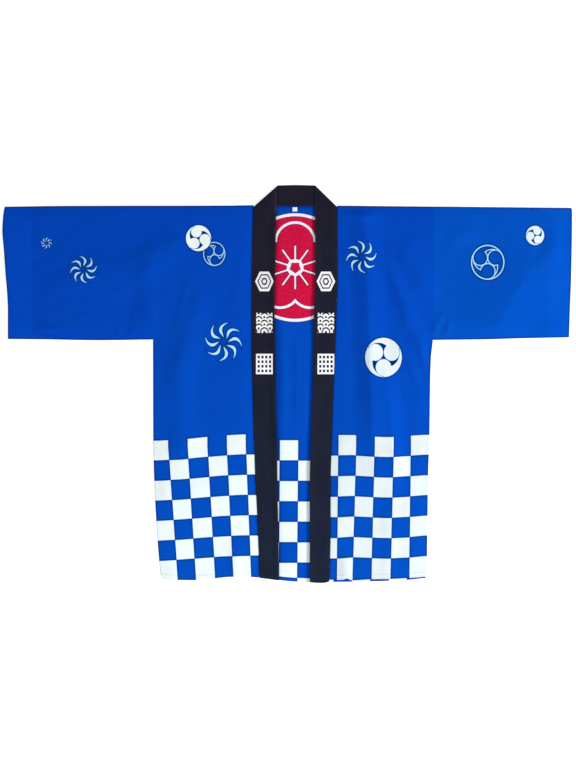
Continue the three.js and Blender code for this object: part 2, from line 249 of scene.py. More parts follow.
def trim(half: float) -> list[Step]:
    """Lists the steps that cut the figure off outside a square.

    Args:
        half: Half of the square's width.

    Returns:
        The steps, in order.
    """
    return [
        ("x", "ABSOLUTE", "x"),
        ("y", "ABSOLUTE", "y"),
        ("block", "MAXIMUM", "x", "y"),
        ("block", "SUBTRACT", half, "block"),
        ("Figure", "MINIMUM", "Figure", "block"),
    ]


class CommasGroup(PrintGroup):
    """Three commas that chase each other round a disc: mitsudomoe."""

    name = "Three commas"
    fields = ("Figure", "Lines", "Disc")
    numbers = POLAR | {"Line": 0.052, "Rim": 0.115}
    HEAD_AT = 0.51
    HEAD_RADIUS = 0.435
    TAIL_FROM = math.radians(45)
    TAIL_TO = math.radians(120)
    TAIL_INNER = (0.60, 0.965)

    @classmethod
    def steps(cls) -> list[Step]:
        """Lists the steps to the heads and tails, filled and as lines with a rim.

        Returns:
            The steps, in order.
        """
        third = math.tau / 3
        thin, wide = cls.TAIL_INNER
        slope = (wide - thin) / (cls.TAIL_TO - cls.TAIL_FROM)
        return [
            *POLAR_STEPS,
            ("past", "FLOORED_MODULO", "angle", third),
            ("near", "COSINE", "past"),
            ("cosine", "SUBTRACT", "past", third),
            ("cosine", "COSINE", "cosine"),
            ("cosine", "MAXIMUM", "near", "cosine"),
            *from_centre(cls.HEAD_AT),
            ("head", "SUBTRACT", cls.HEAD_RADIUS, "away"),
            ("tail", "MAXIMUM", "past", cls.TAIL_FROM),
            ("tail", "MINIMUM", "tail", cls.TAIL_TO),
            ("tail", "MULTIPLY_ADD", "tail", slope, thin - slope * cls.TAIL_FROM),
            ("tail", "SUBTRACT", "radius", "tail"),
            ("comma", "MAXIMUM", "head", "tail"),
            ("Figure", "MINIMUM", "comma", "Disc"),
            ("stroke", "ABSOLUTE", "comma"),
            ("stroke", "SUBTRACT", "Line", "stroke"),
            ("rim", "SUBTRACT", "Rim", "Disc"),
            ("Lines", "MAXIMUM", "stroke", "rim"),
            ("Lines", "MINIMUM", "Lines", "Disc"),
        ]


class WhirlGroup(PrintGroup):
    """Eight slim blades that bend as they run outwards."""

    name = "Whirl of blades"
    numbers = POLAR | {"Half width": 0.094}
    BLADES = 8
    ROOT = 0.2
    SWELL = 0.6
    # How far round a blade has swung at a radius: start, slope and curve
    BEND = (math.radians(-14.5), math.radians(165.0), math.radians(-150.5))

    @classmethod
    def steps(cls) -> list[Step]:
        """Lists the steps to how far a point is inside the blade that it is nearest to.

        Returns:
            The steps, in order.
        """
        start, slope, curve = cls.BEND
        half = math.pi / cls.BLADES
        widest = 1 / (1 + cls.SWELL)
        most = widest * (1 - widest) ** cls.SWELL
        return [
            *POLAR_STEPS,
            ("swing", "MULTIPLY_ADD", "radius", curve, slope),
            ("swing", "MULTIPLY_ADD", "swing", "radius", start),
            ("aside", "SUBTRACT", "angle", "swing"),
            ("aside", "WRAP", "aside", half, -half),
            ("aside", "ABSOLUTE", "aside"),
            ("aside", "MULTIPLY", "aside", "radius"),
            ("past root", "SUBTRACT", "radius", cls.ROOT),
            ("along", "DIVIDE", "past root", 1 - cls.ROOT),
            ("along", "MAXIMUM", "along", 0.0),
            ("along", "MINIMUM", "along", 1.0),
            ("width", "SUBTRACT", 1.0, "along"),
            ("width", "POWER", "width", cls.SWELL),
            ("width", "MULTIPLY", "width", "along"),
            ("width", "DIVIDE", "width", most),
            ("width", "MULTIPLY", "width", "Half width"),
            ("blade", "SUBTRACT", "width", "aside"),
            ("blade", "MINIMUM", "blade", "Disc"),
            ("Figure", "MINIMUM", "blade", "past root"),
        ]


class BlossomGroup(PrintGroup):
    """A disc with a rim, and a five-petalled plum blossom drawn on it in lines."""

    name = "Plum blossom roundel"
    fields = ("Disc", "Lines")
    numbers = POLAR
    PETALS = 5
    PETAL_AT = 0.47
    PETAL_RADIUS = 0.36
    LINE = 0.024
    STAMEN = 0.0144
    STAMEN_TO = 0.40
    RIM = 0.055
    HEART = 0.13

    @classmethod
    def steps(cls) -> list[Step]:
        """Lists the steps to the disc, and to the petals, heart, stamens and rim as lines on it.

        Returns:
            The steps, in order.
        """
        half = math.pi / cls.PETALS
        return [
            *POLAR_STEPS,
            ("folded", "WRAP", "angle", half, -half),
            ("cosine", "COSINE", "folded"),
            *from_centre(cls.PETAL_AT),
            ("petal", "SUBTRACT", "away", cls.PETAL_RADIUS),
            ("petal", "ABSOLUTE", "petal"),
            ("past heart", "SUBTRACT", "radius", cls.HEART),
            ("heart", "ABSOLUTE", "past heart"),
            ("outline", "MINIMUM", "petal", "heart"),
            ("outline", "SUBTRACT", cls.LINE, "outline"),
            ("stem", "WRAP", "folded", half / 2, -half / 2),
            ("stem", "ABSOLUTE", "stem"),
            ("stem", "MULTIPLY", "stem", "radius"),
            ("stem", "SUBTRACT", cls.STAMEN, "stem"),
            ("short", "SUBTRACT", cls.STAMEN_TO, "radius"),
            ("stem", "MINIMUM", "stem", "short"),
            ("stem", "MINIMUM", "stem", "past heart"),
            ("rim", "SUBTRACT", cls.RIM, "Disc"),
            ("Lines", "MAXIMUM", "outline", "stem"),
            ("Lines", "MAXIMUM", "Lines", "rim"),
            ("Lines", "MINIMUM", "Lines", "Disc"),
        ]


class HexagonGroup(PrintGroup):
    """Nested hexagons, as on a tortoise's shell: kikko."""

    name = "Nested hexagons"
    RINGS = (0.98, 0.60, 0.20)
    HALF_LINE = 0.125

    @classmethod
    def steps(cls) -> list[Step]:
        """Lists the steps to rings at set distances from the middle, across a hexagon's flat sides.

        Returns:
            The steps, in order.
        """
        steps: list[Step] = [
            ("x", "ABSOLUTE", "x"),
            ("y", "ABSOLUTE", "y"),
            ("out", "MULTIPLY", "y", 0.5),
            ("out", "MULTIPLY_ADD", "x", 0.866, "out"),
            ("out", "MAXIMUM", "out", "y"),
        ]
        for ring in cls.RINGS:
            steps += [
                ("line", "SUBTRACT", "out", ring - cls.HALF_LINE),
                ("line", "ABSOLUTE", "line"),
                ("line", "SUBTRACT", cls.HALF_LINE, "line"),
                ("Figure", "MAXIMUM", "line", "Figure"),
            ]
        return steps


class WavesGroup(PrintGroup):
    """Rows of round wave scales: seigaiha."""

    name = "Wave scales"
    SCALE = 0.68
    ROWS = 4
    RISE = 0.55
    LOWEST = 0.55
    LINES_IN_SCALE = 1.75
    DARK_SHARE = 0.38

    @classmethod
    def steps(cls) -> list[Step]:
        """Lists the steps to each row of scales over the one above it, trimmed to a square block.

        Returns:
            The steps, in order.
        """
        steps: list[Step] = []
        for row in range(cls.ROWS + 1, -1, -1):
            steps += [
                ("across", "ADD", "x", cls.SCALE * (row % 2)),
                ("across", "WRAP", "across", cls.SCALE, -cls.SCALE),
                ("up", "SUBTRACT", "y", (row - cls.ROWS / 2 - cls.LOWEST) * cls.SCALE * cls.RISE),
                ("out", "MULTIPLY", "across", "across"),
                ("out", "MULTIPLY_ADD", "up", "up", "out"),
                ("out", "SQRT", "out"),
                ("inside", "LESS_THAN", "out", cls.SCALE),
                ("band", "MULTIPLY", "out", cls.LINES_IN_SCALE / cls.SCALE),
                ("band", "FRACT", "band"),
                ("band", "SUBTRACT", "band", cls.DARK_SHARE),
                ("band", "SUBTRACT", "band", "Figure"),
                ("Figure", "MULTIPLY_ADD", "inside", "band", "Figure"),
            ]
        return steps + trim(1.0)


class LatticeGroup(PrintGroup):
    """A frame of bars with crossing bars in it: koshi."""

    name = "Lattice of bars"
    PITCH = 0.46
    HALF_BAR = 0.1

    @classmethod
    def steps(cls) -> list[Step]:
        """Lists the steps to bars at an even pitch both ways, trimmed to a square frame.

        Returns:
            The steps, in order.
        """
        half = cls.PITCH / 2
        steps: list[Step] = []
        for axis in ("x", "y"):
            steps += [
                ("bar", "WRAP", axis, half, -half),
                ("bar", "ABSOLUTE", "bar"),
                ("bar", "SUBTRACT", cls.HALF_BAR, "bar"),
                ("Figure", "MAXIMUM", "bar", "Figure"),
            ]
        return steps + trim(2 * cls.PITCH + cls.HALF_BAR)


class ChecksGroup(PrintGroup):
    """Squares of two colours by turns, below a line: ichimatsu. One unit is one square."""

    name = "Checks"
    TOP = -0.0001

    @classmethod
    def steps(cls) -> list[Step]:
        """Lists the steps to the nearest edge, above zero on every other square under the top line.

        Returns:
            The steps, in order.
        """
        return [
            ("low", "MINIMUM", "y", cls.TOP),
            ("column", "FLOOR", "x"),
            ("row", "FLOOR", "low"),
            ("left", "FRACT", "x"),
            ("right", "SUBTRACT", 1.0, "left"),
            ("under", "FRACT", "low"),
            ("over", "SUBTRACT", 1.0, "under"),
            # Nothing white lies above the first row, so its squares have no upper edge
            ("first row", "GREATER_THAN", "low", -1.0),
            ("over", "ADD", "over", "first row"),
            ("edge", "MINIMUM", "left", "right"),
            ("edge", "MINIMUM", "edge", "under"),
            ("edge", "MINIMUM", "edge", "over"),
            ("sign", "ADD", "column", "row"),
            ("sign", "FLOORED_MODULO", "sign", 2.0),
            ("sign", "MULTIPLY_ADD", "sign", 2.0, -1.0),
            ("edge", "MULTIPLY", "edge", "sign"),
            ("below", "SUBTRACT", cls.TOP, "y"),
            ("Figure", "MINIMUM", "edge", "below"),
        ]


GROUPS: dict[Motif, type[PrintGroup]] = {
    Motif.TOMOE: CommasGroup,
    Motif.TOMOE_LINES: CommasGroup,
    Motif.WHIRL: WhirlGroup,
    Motif.HEXAGONS: HexagonGroup,
    Motif.WAVES: WavesGroup,
    Motif.LATTICE: LatticeGroup,
    Motif.BLOSSOM: BlossomGroup,
}


@dataclass(frozen=True)
class Stamp:
    """One printed figure.

    Attributes:
        motif: What it shows.
        x: Its middle, across.
        y: Its middle, along.
        wide: Half of its width.
        high: Half of its height.
        turn: Angle of its first tip.
        hand: -1 where it is mirrored, else 1.
        bold: How thick its blades or lines are, against the usual.
    """

    motif: Motif
    x: float
    y: float
    wide: float
    high: float
    turn: float = 0.0
    hand: int = 1
    bold: float = 1.0


@dataclass(frozen=True)
class Checks:
    """The checked hem of one panel, as it lies. The cut coordinates count in squares from it.

    Attributes:
        columns: Edges between the columns, each with its place at the top and at the low height.
        rows: Places across the panel, each with the height of the first row line and of the last.
        top: Height at which the upper column edges were read.
        low: Height at which the lower column edges were read.
        count: Squares between the first and the last row line.
        phase: 1 where the first whole column starts white, else 0.
    """

    columns: tuple[tuple[float, float], ...]
    rows: tuple[tuple[float, float, float], ...]
    top: float = -139.5
    low: float = -427.5
    count: int = 6
    phase: int = 1

    @property
    def square(self) -> tuple[float, float]:
        """Mean width and height of a square."""
        upper = [column[0] for column in self.columns]
        drops = [(first - last) / self.count for _, first, last in self.rows]
        return (upper[-1] - upper[0]) / (len(upper) - 1), sum(drops) / len(drops)

    def cut(self, x: Array, y: Array) -> Cut:
        """Finds where a place on the spread coat lies on the flat cut.

        Args:
            x: Places across, as it lies.
            y: Places along, as it lies.

        Returns:
            Cut coordinates in millimetres, with the first column edge and row line at zero.
        """
        wide, high = self.square
        down = np.clip((self.top - y) / (self.top - self.low), 0.0, 1.15)
        edges = [mix(at_top, at_low, down) for at_top, at_low in self.columns]
        column = (x - edges[0]) / wide
        for number, (start, end) in enumerate(zip(edges, edges[1:])):
            column = np.where(x > start, number + (x - start) / (end - start), column)
        across, first, last = np.array(self.rows).T
        line = np.interp(x, across, first)
        level = (y - line) / (line - np.interp(x, across, last)) * self.count * high
        # Well above the checks the cloth lies as it was cut
        plain = ease((y - self.top - 40) / 80)
        return mix(column * wide, x - edges[0], plain), mix(level, y - line.mean(), plain)


LEFT_CHECKS = Checks(
    columns=((-267.3, -246.6), (-223.9, -206.1), (-179.1, -162.2), (-135.9, -121.5), (-92.9, -81.0)),
    rows=(
        (-293.0, -127.1, -398.0),
        (-236.7, -124.4, -394.7),
        (-191.7, -119.7, -391.3),
        (-149.0, -115.7, -388.1),
        (-104.0, -113.0, -386.3),
        (-81.5, -112.6, -385.9),
    ),
    phase=0,
)
RIGHT_CHECKS = Checks(
    columns=((115.2, 111.8), (155.3, 147.2), (196.4, 189.5), (239.4, 232.4), (277.9, 274.3), (323.0, 318.0)),
    rows=(
        (109.8, -114.3, -392.6),
        (145.8, -114.2, -389.6),
        (208.8, -118.4, -392.0),
        (229.0, -118.8, -392.2),
        (269.6, -116.1, -390.6),
        (307.8, -113.9, -386.6),
    ),
)
BACK_CHECKS = Checks(
    columns=((-58.5, -59.9), (-16.7, -18.7), (25.0, 22.5), (66.8, 63.7)),
    rows=((-300.0, -126.0, -401.9), (10.0, -126.0, -401.9), (320.0, -126.0, -401.9)),
    phase=0,
)
NO_CHECKS = Checks(
    columns=((0.0, 0.0), (45.0, 45.0)),
    rows=((-400.0, 0.0, -270.0), (400.0, 0.0, -270.0)),
    top=0.0,
    low=-300.0,
)

LEFT_FRONT_STAMPS = (
    Stamp(Motif.TOMOE_LINES, -164.0, 295.0, 25.4, 27.6, turn=35.0),
    Stamp(Motif.TOMOE, -199.4, 326.8, 28.6, 29.6, turn=109.0, hand=-1),
    Stamp(Motif.WHIRL, -143.1, 99.1, 42.2, 44.2, turn=30.0),
)
RIGHT_FRONT_STAMPS = (
    Stamp(Motif.WHIRL, 166.7, 285.6, 35.0, 37.2, turn=16.4, hand=-1),
    Stamp(Motif.TOMOE, 216.4, 56.9, 41.8, 44.6, turn=30.0),
)
# The last two stamps of each sleeve are on its hidden layer, past the fold along the top
LEFT_SLEEVE_STAMPS = (
    Stamp(Motif.WHIRL, -457.9, 255.2, 31.2, 31.2, turn=18.0, hand=-1, bold=1.08),
    Stamp(Motif.WHIRL, -541.3, 314.9, 13.1, 13.0, turn=20.0, bold=1.15),
    Stamp(Motif.TOMOE, -455.0, 556.0, 34.0, 36.0, turn=80.0),
    Stamp(Motif.WHIRL, -545.0, 492.0, 20.0, 20.0, turn=5.0, hand=-1),
)
RIGHT_SLEEVE_STAMPS = (
    Stamp(Motif.TOMOE_LINES, 450.6, 271.4, 37.8, 39.9, turn=30.0, hand=-1, bold=0.8),
    Stamp(Motif.TOMOE, 557.3, 331.8, 21.0, 22.2, turn=64.5),
    Stamp(Motif.WHIRL, 448.0, 560.0, 34.0, 34.0, turn=12.0),
    Stamp(Motif.TOMOE_LINES, 545.0, 488.0, 24.0, 25.0, turn=70.0),
)
COLLAR_STAMPS = tuple(
    Stamp(motif, x, y, 18.5, 22.5)
    for x in (-51.3, 87.0)
    for motif, y in ((Motif.HEXAGONS, 230.6), (Motif.WAVES, 137.3), (Motif.LATTICE, 45.0))
)
ROUNDEL = Stamp(Motif.BLOSSOM, 18.0, 262.0, 122.0, 122.0, turn=90.0)

Curve = Callable[[Value], Array]


def through(*rows: tuple[float, float]) -> Curve:
    """Makes a smooth curve through a table that never overshoots its rows.

    Args:
        *rows: Pairs of place and value.

    Returns:
        A function from place to value.
    """
    t, v = np.array(sorted(rows), float).T
    slope = np.diff(v) / np.diff(t)
    product, total = slope[:-1] * slope[1:], slope[:-1] + slope[1:]
    bend = np.where(product > 0, 2 * product / np.where(product > 0, total, 1), 0)
    tangent = np.concatenate([slope[:1], bend, slope[-1:]])

    def at(place: Value) -> Array:
        """Works out the curve's value.

        Args:
            place: Places along the curve.

        Returns:
            The value at each.
        """
        held = np.clip(place, t[0], t[-1])
        i = np.clip(np.searchsorted(t, held, side="right") - 1, 0, len(t) - 2)
        span = t[i + 1] - t[i]
        s = (held - t[i]) / span
        rise = v[i] * (2 * s**3 - 3 * s**2 + 1) + v[i + 1] * (3 * s**2 - 2 * s**3)
        return rise + span * (tangent[i] * (s**3 - 2 * s**2 + s) + tangent[i + 1] * (s**3 - s**2))

    return at


@dataclass(frozen=True)
class Half:
    """One half's outline: curves along Y give X, and the hems and the sleeve's seam run along X.

    Attributes:
        sign: -1 on the viewer's left, 1 on the right.
        side: The body's side, and the armhole above it.
        seam: The seam between the front and the collar.
        edge: The collar's free edge.
        cuff: The sleeve's end.
        hem: The front's hem.
        band_hem: The collar's end.
        under: The sleeve's lower seam.
        fold_foot: Where the collar's fold starts at the shoulder.
        fold_tip: Where it ends at the top.
        cuff_turn: How far from the middle the turned part of the cuff starts.
    """

    sign: int
    side: Curve
    seam: Curve
    edge: Curve
    cuff: Curve
    hem: Curve
    band_hem: Curve
    under: Curve
    fold_foot: tuple[float, float]
    fold_tip: tuple[float, float]
    cuff_turn: float


SHOULDER = through(
    (-641, 398.5), (-500, 400.4), (-130, 401.4), (-60, 402.4), (100, 401.4), (170, 400.6), (420, 398.2),
    (641, 396),
)
BACK_HEM = through(
    (-286, -432), (-200, -437), (-128, -430.5), (-62, -433.5), (-19, -441.5), (22, -444.8), (53, -445.9),
    (110, -445.2), (208, -443.5), (276, -440.8), (314, -437),
)
NECK_TOP = through((-20, 446.6), (20, 447.5), (60, 446.6))
HALVES = {
    Side.LEFT: Half(
        sign=-1,
        side=through(
            (404, -304), (234, -305), (100, -302), (-115, -301.5), (-176, -300.5), (-265, -297),
            (-354, -291.5), (-398, -288), (-441, -284),
        ),
        seam=through(
            (404, -76), (250, -79), (110, -79.5), (0, -77.5), (-105, -74.5), (-210, -71.5), (-265, -68.5),
            (-375, -64), (-441, -62),
        ),
        edge=through(
            (446, -26), (402, -25), (300, -26.5), (190, -28.5), (60, -27.5), (-75, -25.7), (-130, -23.5),
            (-265, -21.5), (-320, -20), (-448, -19),
        ),
        cuff=through(
            (401, -635), (380, -638.5), (345, -640.5), (300, -637), (250, -633.5), (200, -629.5), (160, -628),
            (98, -628),
        ),
        hem=through(
            (-285, -434), (-276, -438.5), (-246, -440.5), (-201, -441), (-174, -439.5), (-155, -436),
            (-128, -433.5), (-100, -433), (-62, -435),
        ),
        band_hem=through((-62, -436), (-19, -441.5)),
        under=through((-630, 101), (-560, 100.5), (-430, 98.5), (-302, 100)),
        fold_foot=(-73.5, 400.5),
        fold_tip=(-27, 441.4),
        cuff_turn=574,
    ),
    Side.RIGHT: Half(
        sign=1,
        side=through(
            (404, 330), (234, 330), (100, 327.5), (60, 323.5), (0, 321.5), (-115, 320), (-205, 317),
            (-298, 315.7), (-387, 314.5), (-441, 312.5),
        ),
        seam=through(
            (404, 112), (220, 112.3), (166, 110.2), (58, 106.4), (-50, 102.3), (-157, 99), (-211, 97.5),
            (-346, 97), (-448, 94.3),
        ),
        edge=through(
            (446, 63), (402, 62), (300, 63.5), (215, 62.5), (160, 60), (60, 59.8), (0, 58), (-105, 54),
            (-160, 52), (-240, 50.5), (-448, 51),
        ),
        cuff=through((399, 639), (385, 640.5), (335, 640), (230, 638), (170, 635.5), (98, 633.5)),
        hem=through(
            (97, -439.7), (112, -440.6), (126, -439.7), (133, -437.2), (146, -441.3), (188, -438.8),
            (232, -437.8), (275, -436), (313, -433.3),
        ),
        band_hem=through((51, -445.8), (65, -447.1), (78, -447.5), (90, -446), (95, -443)),
        under=through((327, 99), (378, 99.5), (456, 100.5), (520, 102.5), (640, 105)),
        fold_foot=(110, 400.5),
        fold_tip=(64.5, 445),
        cuff_turn=584.5,
    ),
}
UNDERARM = 100.0
ENDS = 447.5
CLOTH = 1.2
BAND = 2.4
GAP = 0.3
TOP_WALL = CLOTH + GAP
STACK = TOP_WALL + CLOTH
WRAP = TOP_WALL + 0.4
HEM_DEEP = 11.0
HEM_EASED = 34.0
RIM = 3.0
BAND_RIM = 2.4
BAND_WIDE = 46.0


@dataclass(frozen=True)
class Crease:
    """A soft ridge of the upper layer, or a trough where it is lower than the cloth beside it.

    Attributes:
        x1: Start, across.
        y1: Start, along.
        x2: End, across.
        y2: End, along.
        wide: Half of its width.
        high: Its height at the middle, below zero in a trough.
        bow: How far its middle stands off the straight line.
        lean: From -1 to 1, how much wider the flank on the start-to-end line's left is than the other.
        sharp: From 0 to 1, how much of a crest it has.
    """

    x1: float
    y1: float
    x2: float
    y2: float
    wide: float
    high: float
    bow: float = 0.0
    lean: float = 0.0
    sharp: float = 0.0

    def height(self, x: Array, y: Array) -> Array:
        """Works out the crease's height.

        Args:
            x: Places across.
            y: Places along.

        Returns:
            Height over the flat cloth.
        """
        dx, dy = self.x2 - self.x1, self.y2 - self.y1
        length = math.hypot(dx, dy)
        t = np.clip(((x - self.x1) * dx + (y - self.y1) * dy) / length**2, 0, 1)
        aside = ((y - self.y1) * dx - (x - self.x1) * dy) / length - self.bow * 4 * t * (1 - t)
        past = np.hypot(x - self.x1 - t * dx, y - self.y1 - t * dy)
        past = np.where((t <= 0) | (t >= 1), past, np.abs(aside))
        share = np.clip(past / (self.wide * (1 + self.lean * np.sign(aside))), 0, 1)
        profile = mix((1 - share**2) ** 2, (1 - share) ** 2, self.sharp)
        return self.high * ease(t / 0.35) * ease((1 - t) / 0.35) * profile


CREASES = (
    # Right sleeve: a long fold from the cuff's top down to the underarm seam, with a broad flank to the cuff
    Crease(590, 318, 446, 84, 112, 10.0, bow=-5, lean=-0.15, sharp=0.5),
    Crease(586, 352, 540, 236, 18, -1.0),
    Crease(606, 386, 598, 250, 22, 1.8),
    Crease(326, 96, 352, 168, 14, 1.9, lean=0.3),
    Crease(352, 92, 368, 150, 11, 1.6),
    Crease(430, 372, 350, 320, 34, 2.2, bow=8),
    # Right front: a swell beside the collar, and folds that run from the armhole to the hem
    Crease(164, 540, 193, -320, 45, 9.0, bow=6, lean=0.05, sharp=0.4),
    Crease(236, 322, 334, 190, 36, 4.8, bow=4, lean=0.1, sharp=0.3),
    Crease(210, 306, 280, 104, 28, 4.6, bow=6, sharp=0.4),
    Crease(252, 224, 320, -10, 32, 4.6, bow=6, sharp=0.35),
    Crease(280, 96, 316, -8, 15, -2.2, sharp=0.4),
    Crease(262, 66, 300, -14, 14, 2.4, lean=0.3),
    Crease(216, 84, 244, -280, 48, 9.0, bow=4, lean=-0.3, sharp=0.5),
    Crease(112, 400, 200, 360, 18, 3.6, lean=0.3, sharp=0.5),
    Crease(133, -500, 130, -350, 19, 2.6),
    Crease(226, -520, 238, -180, 26, 1.7),
    # Left sleeve: soft ridges from the shoulder down to the cuff's turn
    Crease(-190, 380, -540, 186, 54, 2.7, bow=16, lean=0.3, sharp=0.2),
    Crease(-214, 350, -330, 262, 30, 1.5, bow=4, lean=0.3),
    Crease(-290, 286, -430, 176, 26, 1.5, bow=8, lean=0.3),
    Crease(-380, 310, -560, 200, 34, 2.4, bow=10),
    Crease(-572, 122, -486, 126, 12, 1.5),
    Crease(-352, 92, -340, 190, 14, 0.9),
    Crease(-384, 92, -372, 150, 13, 0.8),
    # Left front: a pair of ridges from under the commas to the side, and a broad swell towards the hem
    Crease(-203, 290, -259, 40, 25, 2.2, bow=-4, lean=0.2, sharp=0.1),
    Crease(-174, 268, -254, -20, 38, 4.2, bow=-4, lean=0.3, sharp=0.2),
    Crease(-252, 150, -240, -230, 46, 4.8, bow=5, lean=0.1, sharp=0.1),
    Crease(-94, 310, -130, 140, 22, 0.8, lean=0.2),
    Crease(-310, 330, -322, 60, 36, 3.0),
    Crease(-113, -500, -117, -340, 22, 2.0),
    # Back, in the opening
    Crease(-12, 190, -10, -170, 16, 2.3, lean=0.25, sharp=0.1),
    Crease(22, 120, 23, -120, 11, 1.3, lean=-0.1),
    Crease(38, 96, 37, -150, 12, 1.1),
)


def billow(x: Array, y: Array, size: float, seed: int) -> Array:
    """Makes the soft unevenness of cloth that isn't pressed.

    Args:
        x: Places across.
        y: Places along.
        size: Length of a wave.
        seed: Fixed seed for the waves' directions.

    Returns:
        Heights from about 0 to 1.
    """
    waves = np.random.default_rng(seed).uniform(0, 1, (9, 3))
    total = np.zeros_like(x, dtype=float)
    for turn, stretch, phase in waves:
        forward = x * math.cos(turn * math.tau) + y * math.sin(turn * math.tau)
        total += np.cos(forward * math.tau / (size * (0.6 + stretch)) + phase * math.tau)
    return 0.5 + total / len(waves)


def free(distance: Array, settle: float = 26.0) -> Array:
    """Returns how free the cloth is at a distance from a sewn or folded edge, from 0 to 1."""
    return ease(distance / settle)


def rounded(distance: Array, radius: Value) -> Array:
    """Returns how far a rounded edge lies below the flat cloth at a distance in from it."""
    inward = np.clip(radius - distance, 0, radius)
    return radius - np.sqrt(radius**2 - inward**2)


def shaded(distance: Array, reach: float = 5.4, most: float = 0.85) -> Array:
    """Works out the painted shade on cloth beside an edge, where it is folded or sewn.

    Args:
        distance: Distance in from the edge.
        reach: How far in it still shows.
        most: How dark it is at the edge, from 0 to 1.

    Returns:
        The painted shade.
    """
    return most * np.clip(1 - distance / reach, 0, 1) ** 2


def over_hem(rise: Array) -> Array:
    """Returns how far the back's turned hem lifts what lies on it, at a height above its own hem."""
    return 1 - ease((rise - HEM_DEEP - 1) / (HEM_EASED - HEM_DEEP - 1))


def creases(x: Array, y: Array) -> Array:
    """Returns the height of all the creases together."""
    return sum(crease.height(x, y) for crease in CREASES)


def lying(x: Array, y: Array, half: Half) -> Array:
    """Returns how high the upper layer of one half lies off the one below, before it is held down."""
    uneven = 2.0 * billow(x, y, 150, 3 + half.sign) + 0.7 * billow(x, y, 44, 41 + half.sign)
    return np.maximum(creases(x, y) + uneven, 0)


@dataclass
class Sheet:
    """A piece of cloth under way: two faces as grids of places in millimetres, with the print's coordinates.

    Attributes:
        outer: Places on the printed face, as rows from the hem up and columns from left to right.
        inner: Places on the other face.
        cut: The print's coordinates at each place.
        cut_inner: The same on the other face, where they differ.
        tone: Painted shade that makes the cloth darker, from 0 to 1, and below 0 a painted highlight that
            makes it paler.
        ring: Whether each row runs on from its end to its start, as round a sleeve.
    """

    outer: Array
    inner: Array
    cut: Cut
    cut_inner: Cut | None = None
    tone: Value = 0.0
    ring: bool = False

    @classmethod
    def flat(cls, x: Array, y: Array, top: Array, under: Array, cut: Cut, **more: object) -> "Sheet":
        """Makes a sheet with its faces right over each other."""
        return cls(np.stack([x, y, top], axis=-1), np.stack([x, y, under], axis=-1), cut, **more)

    def mesh(self, name: str) -> bpy.types.Mesh:
        """Closes the two faces along the cloth's edges.

        Args:
            name: The mesh's name.

        Returns:
            A closed and smooth mesh in metres, with the print's map and the painted shading.
        """
        rows, columns, _ = self.outer.shape
        count = rows * columns
        number = np.arange(count).reshape(rows, columns)
        if self.ring:
            number = np.concatenate([number, number[:, :1]], axis=1)
            rims = [number[0], number[-1, ::-1]]
        else:
            rims = [np.concatenate([number[0, :-1], number[:-1, -1], number[-1, :0:-1], number[::-1, 0]])]
        corners = [number[:-1, :-1], number[:-1, 1:], number[1:, 1:], number[1:, :-1]]
        skin = np.stack(corners, axis=-1).reshape(-1, 4)
        walls = [np.stack([rim[:-1], rim[:-1] + count, rim[1:] + count, rim[1:]], axis=-1) for rim in rims]
        faces = np.concatenate([skin, skin[:, ::-1] + count, *walls])
        points = np.concatenate([self.outer.reshape(-1, 3), self.inner.reshape(-1, 3)])
        cuts = (self.cut, self.cut_inner or self.cut)
        cut = np.concatenate([np.stack(pair, axis=-1).reshape(-1, 2) for pair in cuts])
        mesh = bpy.data.meshes.new(name)
        mesh.from_pydata((points * MM).tolist(), [], faces.tolist())
        loops = np.empty(len(mesh.loops), dtype=np.int32)
        mesh.loops.foreach_get("vertex_index", loops)
        layer = mesh.uv_layers.new(name=PRINT_MAP)
        layer.data.foreach_set("uv", (cut[loops] * MM).astype(np.float32).ravel())
        tone = np.tile(np.broadcast_to(self.tone, (rows, columns)).ravel(), 2)
        mesh.attributes.new(PAINTED_SHADING_ATTRIBUTE, "FLOAT", "POINT").data.foreach_set("value", tone.astype(np.float32))
        smooth(mesh)
        return mesh

    def line(self, away: Array, axis: int) -> Array:
        """Finds the line on the printed face where a distance is zero, column by column.

        Args:
            away: The signed distance from the line, over the whole grid.
            axis: The grid's axis along which the distance grows.

        Returns:
            Places on the line, in millimetres, clear of its ends.
        """
        away, grid = np.moveaxis(away, axis, 0), np.moveaxis(self.outer, axis, 0)
        row = np.clip(np.argmax(away > 0, axis=0), 1, None)
        column = np.arange(away.shape[1])
        before, after = away[row - 1, column], away[row, column]
        share = before / np.where(before == after, 1, before - after)
        return mix(grid[row - 1, column], grid[row, column], share[:, None])[4:-4]


def smooth(mesh: bpy.types.Mesh) -> None:
    """Shades a mesh's faces smooth."""
    mesh.polygons.foreach_set("use_smooth", np.ones(len(mesh.polygons), dtype=bool))
    mesh.update()


def place_piece(
    mesh: bpy.types.Mesh, material: bpy.types.Material, node: str | None = None
) -> bpy.types.Object:
    """Puts a finished mesh in the scene, dressed, and on the coat's body.

    Args:
        mesh: The piece's mesh.
        material: Its finish.
        node: The solid that it stands for, if any.

    Returns:
        The piece.
    """
    piece = bpy.data.objects.new(mesh.name, mesh)
    bpy.context.scene.collection.objects.link(piece)
    mesh.materials.clear()
    mesh.materials.append(material)
    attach(piece, BODY)
    if node:
        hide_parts(node)
    return piece


class Finish:
    """A material that is worked out from formulas."""

    name: str

    def surface(self, tree: Tree) -> dict[str, object]:
        """Adds the finish's nodes and returns what goes to the shader's inputs."""
        raise NotImplementedError

    def material(self) -> bpy.types.Material:
        """Makes the material: the shader, with what the finish gives it.

        Returns:
            The material.
        """
        material = bpy.data.materials.new(self.name)
        material.use_nodes = True
        tree = material.node_tree
        tree.nodes.clear()
        shader = add(tree, "ShaderNodeBsdfPrincipled", self.surface(tree))
        add(tree, "ShaderNodeOutputMaterial", {"Surface": shader})
        return material


